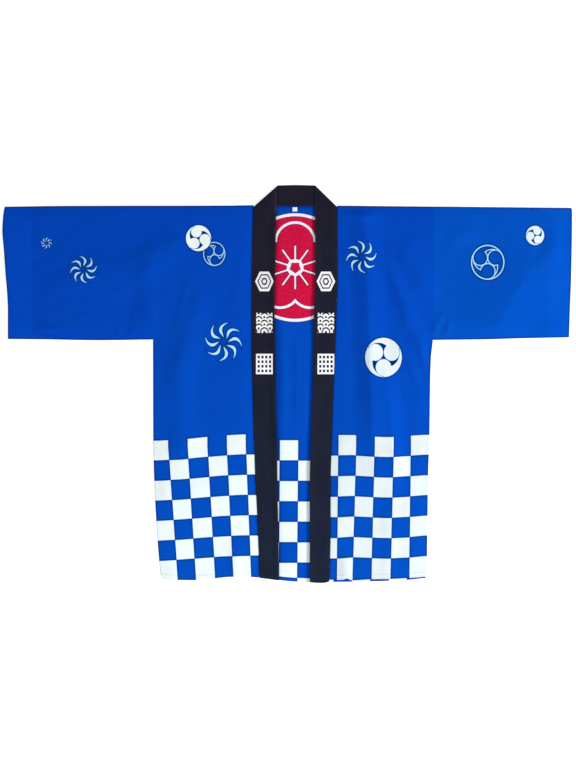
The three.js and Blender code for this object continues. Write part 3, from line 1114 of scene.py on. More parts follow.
@dataclass(frozen=True)
class Cotton(Finish):
    """Plain-woven cotton (tenjiku), dyed and printed by hand.

    The weave gives a matt face with a faint nap, and uneven yarns give thin slubs both ways.

    Attributes:
        name: The finish's name.
        ground: Colour of the dyed ground.
        checks: How the cloth's cut lies, and its checked hem.
        checked: Whether the hem is checked.
        stamps: The printed figures, the later ones over the earlier ones.
        roundel: A large red figure with white lines, if any.
        deep: Colour of the gaps inside a printed disc.
        slub: How much the yarns' unevenness shows, as a share of the colour.
        double: Where across the cut a turned cuff starts; from there the cloth is painted lighter, standing
            in for less of the shade inside showing through the doubled cloth.
        hem_ground: The ground's colour at the hem, which it blends to from the top; on the blue panels a
            painted lighter blue, for the stronger light there.
        ink: Colour of the print, which is paler where its strokes are thin.
        thick: Colour of the filled figures, where they are printed thicker than the rest.
        edge: Colour of the dye that has gathered along the print's edge.
        rim: Colour of the print's outermost part, where dye has crept under the paste, if it shows.
    """

    name: str
    ground: Colour
    checks: Checks = NO_CHECKS
    checked: bool = False
    stamps: tuple[Stamp, ...] = ()
    roundel: Stamp | None = None
    deep: Colour = Colour.NAVY
    slub: float = 0.04
    double: float | None = None
    hem_ground: Colour | None = None
    ink: Colour = Colour.WHITE
    thick: Colour | None = None
    edge: Colour = Colour.DEEP_BLUE
    rim: Colour | None = Colour.SOFT_RIM

    # Real yarns stand about 0.45 mm apart, drawn at 1.6 mm so that a close view shows them
    YARN = 1.6
    # Real slubs are about 1 mm wide and some 80 mm long, drawn about 2.4 mm wide for the same reason
    SLUB_LONG = 0.012
    SLUB_ACROSS = 0.42
    HEM_BLEND = (420.0, -440.0)
    # Gathered dye: how dark its line is, how wide, the most of a figure that it takes, the rim's share of
    # that width, and the width of the dark line beside a roundel's white one
    GATHERED = 0.9
    LINE_WIDE = 4.2
    LINE_MOST = 0.2
    RIM_SHARE = 0.19
    BESIDE = 1.2
    # The painted shade beside folds and seams is kept mostly off the white print
    SPARED = 0.9
    # Painted lightening of the doubled cuff, and the width over which it comes in
    CUFF_PAINTED_LIGHT = 1.09
    CUFF_EDGE = 3.0

    def figure(self, tree: Tree, cloth: Node, group: type[PrintGroup], at: Pair, size: Pair) -> Node:
        """Adds the group that draws a figure, in coordinates of its own.

        Args:
            tree: The material's tree.
            cloth: The cut coordinates, in millimetres.
            group: The kind of figure.
            at: Its origin on the cut.
            size: What counts as one across and along it.

        Returns:
            The group's node.
        """
        spot = {"Vector": cloth, "Location": (*at, 0), "Scale": (*size, 1)}
        local = add(tree, "ShaderNodeMapping", spot, vector_type="TEXTURE")
        return add(tree, "ShaderNodeGroup", {"Vector": local}, node_tree=group.tree())

    def stamped(self, tree: Tree, cloth: Node, stamp: Stamp) -> Node:
        """Adds the group that draws a stamp's figure, turned and bold as it is printed.

        Args:
            tree: The material's tree.
            cloth: The cut coordinates, in millimetres.
            stamp: The figure.

        Returns:
            The group's node.
        """
        u, v = self.checks.cut(np.array([stamp.x]), np.array([stamp.y]))
        at, size = (float(u[0]), float(v[0])), (stamp.wide, stamp.high)
        node = self.figure(tree, cloth, GROUPS[stamp.motif], at, size)
        if "Turn" in node.inputs:
            node.inputs["Turn"].default_value = math.radians(stamp.turn)
            node.inputs["Hand"].default_value = stamp.hand
        for name in ("Half width", "Line", "Rim"):
            if name in node.inputs:
                node.inputs[name].default_value *= stamp.bold
        return node

    def over(
        self, tree: Tree, under: Socket, ink: Colour | Socket, where: Socket | Node, line: float = 0.0
    ) -> Socket:
        """Lays an ink over a colour.

        Args:
            tree: The material's tree.
            under: The colour below.
            ink: The ink's colour.
            where: A field that is above zero inside the figure.
            line: How far outside the figure the dye has gathered into a darker line, in the field's units.

        Returns:
            The socket with the result.
        """
        if line:
            gathered = add(tree, "ShaderNodeMapRange", [where, -line, 0.0, 0.0, self.GATHERED])
            dark = {0: gathered, 6: under, 7: self.edge.linear}
            under = add(tree, "ShaderNodeMix", dark, data_type="RGBA").outputs[2]
        inside = add(tree, "ShaderNodeMath", [where, 0.0], operation="GREATER_THAN")
        ink = ink.linear if isinstance(ink, Colour) else ink
        if line and self.rim:
            thin = add(tree, "ShaderNodeMath", [where, line * self.RIM_SHARE], operation="LESS_THAN")
            pale = {0: thin, 6: ink, 7: self.rim.linear}
            ink = add(tree, "ShaderNodeMix", pale, data_type="RGBA").outputs[2]
        return add(tree, "ShaderNodeMix", {0: inside, 6: under, 7: ink}, data_type="RGBA").outputs[2]

    def printed(self, tree: Tree, cloth: Node, level: Socket) -> Socket:
        """Adds the ground, the checks, the roundel and the stamps.

        Args:
            tree: The material's tree.
            cloth: The cut coordinates, in millimetres.
            level: How far up the cut a point is.

        Returns:
            The socket with the printed colour.
        """
        colour = add(tree, "ShaderNodeRGB").outputs[0]
        colour.default_value = self.ground.linear
        # Towards the hem the ground blends to another colour: a painted lighter blue on the blue panels
        if self.hem_ground:
            share = add(tree, "ShaderNodeMapRange", [level, *self.HEM_BLEND])
            both = {0: share, 6: self.ground.linear, 7: self.hem_ground.linear}
            colour = add(tree, "ShaderNodeMix", both, data_type="RGBA").outputs[2]
        if self.checked:
            wide, high = self.checks.square
            start = wide * (self.checks.phase - 1)
            group = self.figure(tree, cloth, ChecksGroup, (start, 0.0), (wide, high))
            colour = self.over(tree, colour, self.ink, group.outputs["Figure"], self.LINE_WIDE / high)
        if self.roundel:
            disc, lines = self.stamped(tree, cloth, self.roundel).outputs
            grain = add(tree, "ShaderNodeTexNoise", {"Vector": cloth, "Scale": 0.22, "Detail": 3.0})
            share = add(tree, "ShaderNodeMapRange", [grain, 0.38, 0.62])
            reds = {0: share, 6: Colour.RED.linear, 7: Colour.DEEP_RED.linear}
            red = add(tree, "ShaderNodeMix", reds, data_type="RGBA").outputs[2]
            colour = self.over(tree, colour, red, disc)
            # Dye has gathered into a thin dark line on both sides of the white ones
            beside = add(tree, "ShaderNodeMath", [lines, self.BESIDE / self.roundel.wide])
            colour = self.over(tree, colour, self.deep, beside)
            colour = self.over(tree, colour, Colour.PINK, lines)
        for stamp in self.stamps:
            group = self.stamped(tree, cloth, stamp)
            if stamp.motif is Motif.TOMOE:
                colour = self.over(tree, colour, self.deep, group.outputs["Disc"])
            where = group.outputs["Lines" if stamp.motif is Motif.TOMOE_LINES else "Figure"]
            line = min(self.LINE_WIDE / min(stamp.wide, stamp.high), self.LINE_MOST)
            slim = stamp.motif in (Motif.WHIRL, Motif.TOMOE_LINES)
            ink = Colour.THIN_WHITE if slim else self.thick or self.ink
            colour = self.over(tree, colour, ink, where, line)
        return colour

    def surface(self, tree: Tree) -> dict[str, object]:
        """Adds the printed colour, the yarns' unevenness, and the weave's relief.

        Args:
            tree: The material's tree.

        Returns:
            What goes to the shader's inputs.
        """
        flat = add(tree, "ShaderNodeUVMap", uv_map=PRINT_MAP)
        cloth = add(tree, "ShaderNodeVectorMath", {"Vector": flat, "Scale": 1 / MM}, operation="SCALE")
        across, level, _ = add(tree, "ShaderNodeSeparateXYZ", [cloth]).outputs
        colour = self.printed(tree, cloth, level)
        slubs = []
        for stretch in ((self.SLUB_ACROSS, self.SLUB_LONG, 1), (self.SLUB_LONG, self.SLUB_ACROSS, 1)):
            drawn = add(tree, "ShaderNodeVectorMath", [cloth, stretch], operation="MULTIPLY")
            slubs.append(add(tree, "ShaderNodeTexNoise", {"Vector": drawn, "Scale": 1.0, "Detail": 2.0}))
        yarns = add(tree, "ShaderNodeMath", slubs)
        patches = add(tree, "ShaderNodeTexNoise", {"Vector": cloth, "Scale": 0.018, "Detail": 3.0})
        uneven = add(tree, "ShaderNodeMath", [yarns, patches])
        shade = add(tree, "ShaderNodeMapRange", [uneven, 0.9, 2.1, 1 - self.slub, 1 + self.slub])
        # Painted lighter tone on the doubled cuff
        if self.double is not None:
            full = self.double + math.copysign(self.CUFF_EDGE, self.double)
            layer = add(tree, "ShaderNodeMapRange", [across, self.double, full, 1.0, self.CUFF_PAINTED_LIGHT])
            shade = add(tree, "ShaderNodeMath", [shade, layer], operation="MULTIPLY")
        # Painted shade beside folds and seams, and a painted highlight where the value is below zero
        darker = add(tree, "ShaderNodeAttribute", attribute_name=PAINTED_SHADING_ATTRIBUTE).outputs["Fac"]
        green = add(tree, "ShaderNodeSeparateColor", [colour]).outputs["Green"]
        spared = add(tree, "ShaderNodeMath", [green, -self.SPARED, 1.0], operation="MULTIPLY_ADD")
        tone = add(tree, "ShaderNodeMath", [darker, spared], operation="MULTIPLY")
        light = add(tree, "ShaderNodeMath", [1.0, tone], operation="SUBTRACT")
        light = add(tree, "ShaderNodeMath", [shade, light], operation="MULTIPLY")
        toned = add(tree, "ShaderNodeVectorMath", {0: colour, "Scale": light}, operation="SCALE")
        turned = {0: cloth, "Scale": math.pi / self.YARN}
        waves = add(tree, "ShaderNodeVectorMath", turned, operation="SCALE")
        waves = add(tree, "ShaderNodeVectorMath", [waves], operation="SINE")
        warp, weft, _ = add(tree, "ShaderNodeSeparateXYZ", [waves]).outputs
        relief = add(tree, "ShaderNodeMath", [warp, weft], operation="MULTIPLY")
        relief = add(tree, "ShaderNodeMath", [relief, 0.5], operation="MULTIPLY")
        relief = add(tree, "ShaderNodeMath", [yarns, 0.8, relief], operation="MULTIPLY_ADD")
        bump = add(tree, "ShaderNodeBump", {"Strength": 0.12, "Distance": 0.0002, "Height": relief})
        return {
            "Base Color": toned,
            "Roughness": 0.88,
            "Specular IOR Level": 0.03,
            "Sheen Weight": 0.015,
            "Sheen Roughness": 0.5,
            "Normal": bump,
        }


@dataclass(frozen=True)
class Yarn(Finish):
    """Polyester sewing thread: a smooth twist, so a little glossier than the cotton."""

    name: str
    colour: Colour
    # Real plies stand 0.3 mm apart, drawn at 0.9 mm so that a close view shows them
    TWIST = 0.9

    def surface(self, tree: Tree) -> dict[str, object]:
        """Adds fine slanting plies as relief and shade.

        Args:
            tree: The material's tree.

        Returns:
            What goes to the shader's inputs.
        """
        place = add(tree, "ShaderNodeTexCoord").outputs["Object"]
        ply = {"Vector": place, "Scale": 0.314 / (self.TWIST * MM), "Distortion": 0.6}
        plies = add(tree, "ShaderNodeTexWave", ply, bands_direction="DIAGONAL").outputs["Fac"]
        shade = add(tree, "ShaderNodeMapRange", [plies, 0.0, 1.0, 0.9, 1.05])
        tint = {0: self.colour.linear[:3], "Scale": shade}
        return {
            "Base Color": add(tree, "ShaderNodeVectorMath", tint, operation="SCALE"),
            "Roughness": 0.6,
            "Specular IOR Level": 0.3,
            "Normal": add(tree, "ShaderNodeBump", {"Strength": 0.3, "Distance": 0.0001, "Height": plies}),
        }


@dataclass(frozen=True)
class Acrylic(Finish):
    """Opal acrylic over a light table: matt, and it glows evenly, so no shadow shows round the coat."""

    name: str
    colour: Colour
    glow: float

    def surface(self, tree: Tree) -> dict[str, object]:
        """Adds a faint grain and the glow.

        Args:
            tree: The material's tree.

        Returns:
            What goes to the shader's inputs.
        """
        place = add(tree, "ShaderNodeTexCoord").outputs["Object"]
        grain = add(tree, "ShaderNodeTexNoise", {"Vector": place, "Scale": 40.0})
        shade = add(tree, "ShaderNodeMapRange", [grain, 0.0, 1.0, 0.97, 1.0])
        tint = {0: self.colour.linear[:3], "Scale": shade}
        return {
            "Base Color": add(tree, "ShaderNodeVectorMath", tint, operation="SCALE"),
            "Roughness": 0.9,
            "Specular IOR Level": 0.1,
            "Emission Color": (1, 1, 1, 1),
            "Emission Strength": self.glow,
        }


@dataclass
class Panel:
    """A piece of cloth that stands for one solid."""

    finish: Cotton

    def sheet(self) -> Sheet:
        """Lays the cloth out and lifts it into its creases."""
        raise NotImplementedError

    def piece(self, name: str, slot: str, node: str) -> bpy.types.Object:
        """Puts the cloth in the scene, in its solid's place."""
        return place_piece(self.sheet().mesh(name), self.finish.material(), node)


@dataclass
class HalfPanel(Panel):
    """A panel of one half, which runs between an outer edge and an inner one."""

    side: Side

    @property
    def half(self) -> Half:
        """The outline of the panel's half."""
        return HALVES[self.side]

    def outer(self, level: Value) -> Array:
        """Returns where the edge farther from the coat's middle is at a height."""
        raise NotImplementedError

    def inner(self, level: Value) -> Array:
        """Returns where the edge nearer to the coat's middle is at a height."""
        raise NotImplementedError

    def across(self, level: Value, share: Array) -> Array:
        """Returns the places at a height and at shares of the way from the viewer's left to right."""
        ends = self.outer(level), self.inner(level)
        return mix(*(ends if self.half.sign < 0 else ends[::-1]), share)


@dataclass
class Front(HalfPanel):
    """A front: it wraps over the back along the shoulder and, below the arm, down the side."""

    step: float = 3.2
    fold_radius: float = 2.3
    edge_radius: float = 0.5
    seam_radius: float = 0.12
    hem_lift: float = 0.6
    hem_deep: float = 12.0
    pucker: float = 0.35
    # The print's last row is held above its lower edge, so that no other row starts at the hem
    last_row: float = 6.9

    def outer(self, level: Value) -> Array:
        """Returns the side, which stands clear of the sleeve along the armhole."""
        return self.half.side(level) + self.half.sign * (GAP - 0.04) * ease((level - UNDERARM) / 6)

    def inner(self, level: Value) -> Array:
        """Returns the edge along the collar's seam."""
        return self.half.seam(level) + self.half.sign * GAP

    def sheet(self) -> Sheet:
        """Lays the cloth out and lifts it into its creases.

        Returns:
            The sheet.
        """
        half = self.half
        wide = abs(float(self.outer(0) - self.inner(0)))
        tall = float(SHOULDER(self.outer(400)) - half.hem(self.outer(-440)))
        u, v = np.meshgrid(places(wide, self.step, RIM), places(tall, self.step, RIM))
        y = mix(half.hem(self.across(-ENDS, u)), SHOULDER(self.across(ENDS, u)), v)
        x = self.across(y, u)
        to_top, to_seam, to_side = SHOULDER(x) - y, np.abs(self.inner(y) - x), np.abs(x - self.outer(y))
        rise = y - half.hem(x)
        held = free(to_top) * free(to_seam) * free(np.hypot(to_side, np.maximum(y - UNDERARM, 0)))
        near_arm = np.clip(1 - to_side / 16, 0, 1) ** 2 * ease((y - UNDERARM) / 12)
        tucks = self.pucker * near_arm * billow(x * 0.2, y, 24, 11) * ease(to_side / 3)
        level = over_hem(rise) + self.hem_lift * ease((self.hem_deep - rise) / 1.5)
        top = STACK + lying(x, y, half) * held + tucks + level
        under = top - CLOTH
        below_arm = ease((UNDERARM - 2 - y) / 3)
        wrap = np.maximum(rounded(to_top, self.fold_radius), rounded(to_side, self.fold_radius) * below_arm)
        crisp = np.maximum(rounded(to_seam, self.edge_radius), rounded(rise, self.edge_radius))
        crisp = np.maximum(crisp, rounded(to_side, self.seam_radius) * (1 - below_arm))
        top = top - np.maximum(wrap * (1 + level / self.fold_radius * (wrap > 1.2)), crisp)
        under = np.maximum(under - wrap * 1.1, 0) + crisp * 0.9 * (wrap < 0.4)
        cut_u, cut_v = self.finish.checks.cut(x, y)
        cut_v = np.maximum(cut_v, -self.last_row * self.finish.checks.square[1])
        # Painted shade along the folded outline and beside the collar's seam
        outline = np.minimum(np.minimum(to_top, rise), to_side + 20 * (1 - below_arm))
        tone = np.maximum(shaded(outline), shaded(to_seam, most=0.6))
        return Sheet.flat(x, y, top, np.minimum(under, top - 0.1), (cut_u, cut_v), tone=tone)

    def build(self) -> bpy.types.Object:
        """Builds the front.

        Returns:
            The piece.
        """
        node = f"front_{self.side.value}"
        piece = self.piece(f"{node}_cloth", "blue_cotton", node)
        return piece


@dataclass
class Back(Panel):
    """The back: one panel with a hem turned to the inside, which shows between the fronts."""

    step: float = 4.0
    edge_radius: float = 0.4
    wide: float = 620.0
    tall: float = 838.0

    def sheet(self) -> Sheet:
        """Lays the cloth out, with the turned hem and the creases that show in the opening.

        Returns:
            The sheet.
        """
        left, right = HALVES[Side.LEFT], HALVES[Side.RIGHT]
        u, v = np.meshgrid(places(self.wide, self.step, RIM), places(self.tall, self.step, RIM))
        guess = mix(left.side(0), right.side(0), u)
        y = mix(BACK_HEM(guess), SHOULDER(guess) - WRAP, v)
        inset = WRAP * (1 - ease((y - UNDERARM - 4) / 5))
        x = mix(left.side(y) + inset, right.side(y) - inset, u)
        rise, drop = y - BACK_HEM(x), SHOULDER(x) - y
        to_left, to_right = x - left.edge(y), right.edge(y) - x
        open_here = free(to_left, 14) * free(to_right, 14) * free(drop) * (to_left > 0) * (to_right > 0)
        soft = open_here * free(rise, 40) * np.maximum(creases(x, y) + 1.2 * billow(x, y, 90, 21), 0)
        to_edge = reduce(np.minimum, [x - x[:, :1], x[:, -1:] - x, rise, drop - WRAP])
        crisp = rounded(np.maximum(to_edge, 0), self.edge_radius)
        top = CLOTH + soft + 1.0 * (rise < HEM_DEEP - 0.5) - crisp
        outside = self.finish.checks.cut(x, y)
        # Painted shadow on the blue beside the band's edges and below the neck seam
        from_band = np.maximum(np.minimum(to_left, drop - WRAP), 0)
        tone = np.maximum(shaded(from_band, 15.0, 0.6), shaded(np.maximum(to_right, 0), 8.0, 0.3))
        inside = self.inside(outside, x, rise)
        under = np.minimum(soft + crisp, top - 0.2)
        return Sheet.flat(x, y, top, under, inside, cut_inner=outside, tone=tone)

    def inside(self, outside: Cut, x: Array, rise: Array) -> Cut:
        """Works out the print of the inner face, where the turned hem shows the checks' other colour.

        Args:
            outside: The cut coordinates of the outer face.
            x: Places across.
            rise: Heights above the hem.

        Returns:
            The cut coordinates of the inner face.
        """
        wide, high = self.finish.checks.square
        cut_u, cut_v = outside
        turned = rise < HEM_DEEP
        last = np.where(turned, np.minimum(cut_v, -7.2 * high), np.maximum(cut_v, -6.98 * high))
        return np.where(turned & (x > 90), cut_u + wide, cut_u), np.where(cut_v < -6 * high, last, cut_v)

    def build(self) -> bpy.types.Object:
        """Builds the back.

        Returns:
            The piece.
        """
        piece = self.piece("back_cloth", "blue_cotton", "back")
        return piece


@dataclass
class Sleeve(HalfPanel):
    """A sleeve: one length of cloth, folded along the top, sewn underneath and turned in at the cuff."""

    step: float = 3.4
    lower_step: float = 8.0
    round_steps: int = 8
    cuff_lift: float = 0.4
    pucker: float = 0.35

    def outer(self, level: Value) -> Array:
        """Returns the cuff."""
        return self.half.cuff(level)

    def inner(self, level: Value) -> Array:
        """Returns the armhole's seam."""
        return self.half.side(level) + self.half.sign * GAP

    def sheet(self) -> Sheet:
        """Runs rings of cloth from the armhole to the cuff, with the print running round over the fold.

        Returns:
            The flattened tube.
        """
        half, radius = self.half, STACK / 2
        thin, quarter = radius - CLOTH, radius * math.pi / 2
        middle = (float(SHOULDER(0)) + UNDERARM) / 2
        s = places(abs(float(self.outer(middle) - self.inner(middle))), self.step, 4.0)[:, None]
        place = self.across(middle, s)
        y_top, y_low = SHOULDER(place) - radius, half.under(place) + radius
        depth = float(y_top.mean() - y_low.mean())
        y_up = mix(y_top, y_low, places(depth, self.step, 4.0)[None, 1:-1])
        y_back = mix(y_low, y_top, places(depth, self.lower_step, 6.0)[None, 1:-1])
        x_up = self.across(y_up, s)
        to_top, to_low = SHOULDER(x_up) - y_up, y_up - half.under(x_up)
        to_arm, to_fold = np.abs(x_up - self.inner(y_up)), np.minimum(to_top, to_low)
        tucks = self.pucker * np.clip(1 - to_arm / 16, 0, 1) ** 2 * billow(x_up * 0.2, y_up, 24, 12)
        cuff = self.cuff_lift * ease((half.sign * x_up - half.cuff_turn) / 14) * ease(to_fold / 5)
        lift = lying(x_up, y_up, half) * free(to_top) * free(to_low) + cuff
        lift = lift + tucks * ease(to_arm / 3) * ease(to_fold / 8)
        angle = np.radians(np.linspace(-90, 90, self.round_steps + 1))[None, :]

        def strip(y_out: Value, y_in: Value, z_out: Value, z_in: Value, around: Value) -> Array:
            """Returns one strip of the rings: both faces' places, and the way round the cloth."""
            return np.stack(np.broadcast_arrays(y_out, y_in, z_out, z_in, around))

        def fold(centre: Array, hand: int, start: Value) -> Array:
            """Makes the strip of one rounded edge.

            Args:
                centre: Where its middle lies, along.
                hand: 1 where it bulges up the coat, -1 where it bulges down.
                start: How far round the cloth its middle is.

            Returns:
                The strip.
            """
            y, z = hand * np.cos(angle), hand * np.sin(angle)
            heights = (radius * (1 + z), radius + thin * z)
            return strip(centre + radius * y, centre + thin * y, *heights, start + radius * angle)

        strips = [
            fold(y_top, 1, 0.0),
            strip(y_up, y_up, STACK + lift, STACK - CLOTH + lift, quarter + y_top - y_up),
            fold(y_low, -1, 2 * quarter + y_top - y_low),
            strip(y_back, y_back, 0.0, CLOTH, y_back - y_top - quarter),
        ]
        y_out, y_in, z_out, z_in, around = np.concatenate(strips, axis=2)
        x_out = self.across(y_out, s)
        edges = [SHOULDER(x_out) - y_out, y_out - half.under(x_out), np.abs(self.outer(y_out) - x_out)]
        return Sheet(
            np.stack([x_out, y_out, z_out], axis=-1),
            np.stack([self.across(y_in, s), y_in, z_in], axis=-1),
            (x_out, y_top - around),
            # Painted shade along the folds and the cuff
            tone=shaded(np.maximum(reduce(np.minimum, edges), 0)),
            ring=True,
        )

    def build(self) -> bpy.types.Object:
        """Builds the flattened tube.

        Returns:
            The piece.
        """
        node = f"sleeve_{self.side.value}"
        piece = self.piece(f"{node}_cloth", "blue_cotton", node)
        return piece


@dataclass
class CollarRun(HalfPanel):
    """A front run of the collar band, which folds over the neck run along a slant at its top."""

    step: float = 3.4
    fine_step: float = 2.6
    edge_radius: float = 1.1
    fold_radius: float = 2.2
    stitch_dent: float = 0.25
    stitch_inset: float = 3.0
    stitch_top: float = 398.0
    roll: float = 2.4
    roll_wide: float = 15.0
    fold_highlight: float = 1.6
    neck_from: float = 374.0
    neck_eased: float = 22.0
    hem_at: float = -441.0
    dent_wide: float = 1.4

    def outer(self, level: Value) -> Array:
        """Finds the band's sewn side, which follows the slant above the shoulder.

        Args:
            level: Heights along the coat.

        Returns:
            Places across.
        """
        (foot_x, foot_y), (tip_x, tip_y) = self.half.fold_foot, self.half.fold_tip
        sewn = mix(self.half.seam(level), foot_x, ease((level - self.neck_from) / (foot_y - self.neck_from)))
        slant = mix(foot_x, tip_x, (level - foot_y) / (tip_y - foot_y))
        return np.where(level <= foot_y, sewn, slant)

    def inner(self, level: Value) -> Array:
        """Returns the band's free edge."""
        return self.half.edge(level)

    def sheet(self) -> Sheet:
        """Lays the band out: on the back beside its front, and over the neck run at its top.

        Returns:
            The sheet.
        """
        half = self.half
        tip_y = half.fold_tip[1]
        u, v = np.meshgrid(
            places(BAND_WIDE, self.fine_step, BAND_RIM), places(tip_y - self.hem_at, self.step, BAND_RIM)
        )
        y = mix(half.band_hem(self.across(-ENDS, u)), tip_y, v)
        x = self.across(y, u)
        rise = y - half.band_hem(x)
        over_neck = ease((y - self.neck_from) / self.neck_eased)
        to_outer, to_edge = np.abs(x - self.outer(y)), np.abs(x - half.edge(y))
        rolled = self.roll * ease(1 - to_edge / self.roll_wide) * (1 - over_neck)
        base = mix(TOP_WALL, BAND + GAP, over_neck) + over_hem(rise) + rolled
        nearest, ends = np.minimum(to_outer, to_edge), np.minimum(rise, tip_y - y)
        radius = mix(self.edge_radius, self.fold_radius, over_neck)
        crisp = rounded(np.minimum(nearest, np.maximum(ends, 0)), radius)
        soft = 0.7 * billow(x * 0.5, y, 110, 31 + half.sign) * free(nearest, 12) * free(ends, 12)
        dent = self.stitch_dent * np.exp(-(((nearest - self.stitch_inset) / self.dent_wide) ** 2))
        top = base + BAND + soft - crisp - dent
        # Painted highlight along the fold over the neck run, as shading below zero
        painted_highlight = -shaded(to_edge, 4.0, self.fold_highlight) * over_neck
        under = np.minimum(base + crisp, top - 0.15)
        return Sheet.flat(x, y, top, under, self.finish.checks.cut(x, y), tone=painted_highlight)

    def build(self) -> bpy.types.Object:
        """Builds the run.

        Returns:
            The piece.
        """
        node = f"collar_{self.side.value}"
        piece = self.piece(f"{node}_band", "black_cotton", node)
        return piece


@dataclass
class NeckRun(Panel):
    """The run of the collar across the back of the neck, sewn to the back's neck edge."""

    step: float = 2.6
    long: float = 184.0
    edge_radius: float = 1.1
    top_corners: tuple[float, float] = (-21.5, 62.5)

    def sheet(self) -> Sheet:
        """Lays the band out flat on the table.

        Returns:
            The sheet.
        """
        foot = HALVES[Side.LEFT].fold_foot[0] + 1, HALVES[Side.RIGHT].fold_foot[0] - 1
        u, v = np.meshgrid(places(self.long, self.step, BAND_RIM), places(BAND_WIDE, self.step, BAND_RIM))
        low, high = mix(*foot, u), mix(*self.top_corners, u)
        bottom, top_y = SHOULDER(low) - WRAP - 0.12, NECK_TOP(high)
        x, y = mix(low, high, v), mix(bottom, top_y, v)
        to_edge = reduce(np.minimum, [x - x[:, :1], x[:, -1:] - x, y - bottom, top_y - y])
        crisp = rounded(np.maximum(to_edge, 0), self.edge_radius)
        top = BAND - crisp
        return Sheet.flat(x, y, top, np.minimum(crisp, top - 0.15), self.finish.checks.cut(x, y))

    def build(self) -> bpy.types.Object:
        """Builds the run.

        Returns:
            The piece.
        """
        piece = self.piece("collar_neck_band", "black_cotton", "collar_neck")
        return piece


@dataclass
class Label(Panel):
    """The blank tape label, caught in the neck seam and lying on the inside of the back."""

    x: float = 17.3
    wide: float = 10.6
    drop: float = 9.2
    below_seam: float = 2.8
    thick: float = 0.8

    def sheet(self) -> Sheet:
        """Lays the tape down, with its free end barely lifted.

        Returns:
            The sheet.
        """
        top_y = float(SHOULDER(self.x)) - WRAP - self.below_seam
        u, v = np.meshgrid(places(self.wide, 1.0, 1.0), places(self.drop, 1.0, 1.0))
        x, y = self.x + (u - 0.5) * self.wide, top_y - self.drop * (1 - v)
        bottom = 1.5 + 0.7 * (1 - v) ** 2 + 0.15 * np.sin(u * math.pi)
        return Sheet.flat(x, y, bottom + self.thick, bottom, self.finish.checks.cut(x, y))

    def build(self) -> bpy.types.Object:
        """Builds the label.

        Returns:
            The piece.
        """
        piece = self.piece("label_tape", "white_tape", "label")
        return piece


@dataclass
class Stitching:
    """Running stitches along seams or hems: thin rounded lengths of thread that sit on the cloth."""

    name: str
    thread: Yarn
    slot: str
    paths: list[Array]
    spacing: float = 3.3
    length: float = 2.6
    thick: float = 0.4
    seed: int = 7
    KINDS = {
        "Geometry": "NodeSocketGeometry",
        "Spacing": "NodeSocketFloat",
        "Stitch length": "NodeSocketFloat",
        "Thread thickness": "NodeSocketFloat",
        "Seed": "NodeSocketInt",
        "Thread": "NodeSocketMaterial",
    }

    def tree(self) -> Tree:
        """Makes the tree that strings stitches along curves.

        Returns:
            The tree, with its sizes as named inputs.
        """
        tree = bpy.data.node_groups.new(f"{self.name} stitches", "GeometryNodeTree")
        for name, kind in self.KINDS.items():
            tree.interface.new_socket(name, in_out="INPUT", socket_type=kind)
        tree.interface.new_socket("Geometry", in_out="OUTPUT", socket_type="NodeSocketGeometry")
        source = add(tree, "NodeGroupInput")
        given = source.outputs
        curve = {"Curve": source, "Length": given["Spacing"]}
        spaced = add(tree, "GeometryNodeResampleCurve", curve, mode="LENGTH")
        bead = add(tree, "GeometryNodeMeshUVSphere", {"Segments": 6, "Rings": 4, "Radius": 0.5})
        thickness = given["Thread thickness"]
        size = add(tree, "ShaderNodeCombineXYZ", [given["Stitch length"], thickness, thickness])
        shaped = add(tree, "GeometryNodeTransform", {"Geometry": bead, "Scale": size})
        tangent = add(tree, "GeometryNodeInputTangent")
        turned = add(tree, "FunctionNodeAlignRotationToVector", {"Vector": tangent}, axis="X")
        spread = {2: 0.86, 3: 1.12, "Seed": given["Seed"]}
        jitter = add(tree, "FunctionNodeRandomValue", spread, data_type="FLOAT").outputs[1]
        beads = {"Points": spaced, "Instance": shaped, "Rotation": turned, "Scale": jitter}
        strung = add(tree, "GeometryNodeInstanceOnPoints", beads)
        real = add(tree, "GeometryNodeRealizeInstances", [strung])
        dressed = add(tree, "GeometryNodeSetMaterial", {"Geometry": real, "Material": given["Thread"]})
        add(tree, "NodeGroupOutput", [dressed])
        return tree

    def build(self) -> bpy.types.Object:
        """Strings the stitches, turns them into a plain mesh and puts it on the coat.

        Returns:
            The piece.
        """
        curve = bpy.data.curves.new(f"{self.name}_path", "CURVE")
        curve.dimensions = "3D"
        for path in self.paths:
            spline = curve.splines.new("POLY")
            spline.points.add(len(path) - 1)
            spline.points.foreach_set("co", np.c_[path * MM, np.ones(len(path))].ravel().astype(np.float32))
        carrier = bpy.data.objects.new(f"{self.name}_carrier", curve)
        bpy.context.scene.collection.objects.link(carrier)
        modifier = carrier.modifiers.new("Stitches", "NODES")
        modifier.node_group = self.tree()
        material = self.thread.material()
        values = {
            "Spacing": self.spacing * MM,
            "Stitch length": self.length * MM,
            "Thread thickness": self.thick * MM,
            "Seed": self.seed,
            "Thread": material,
        }
        for item in modifier.node_group.interface.items_tree:
            if item.in_out == "INPUT" and item.name in values:
                modifier[item.identifier] = values[item.name]
        bpy.context.view_layer.update()
        graph = bpy.context.evaluated_depsgraph_get()
        mesh = bpy.data.meshes.new_from_object(carrier.evaluated_get(graph), depsgraph=graph)
        mesh.name = self.name
        carrier.modifiers.clear()
        bpy.data.objects.remove(carrier)
        bpy.data.curves.remove(curve)
        smooth(mesh)
        return place_piece(mesh, material)


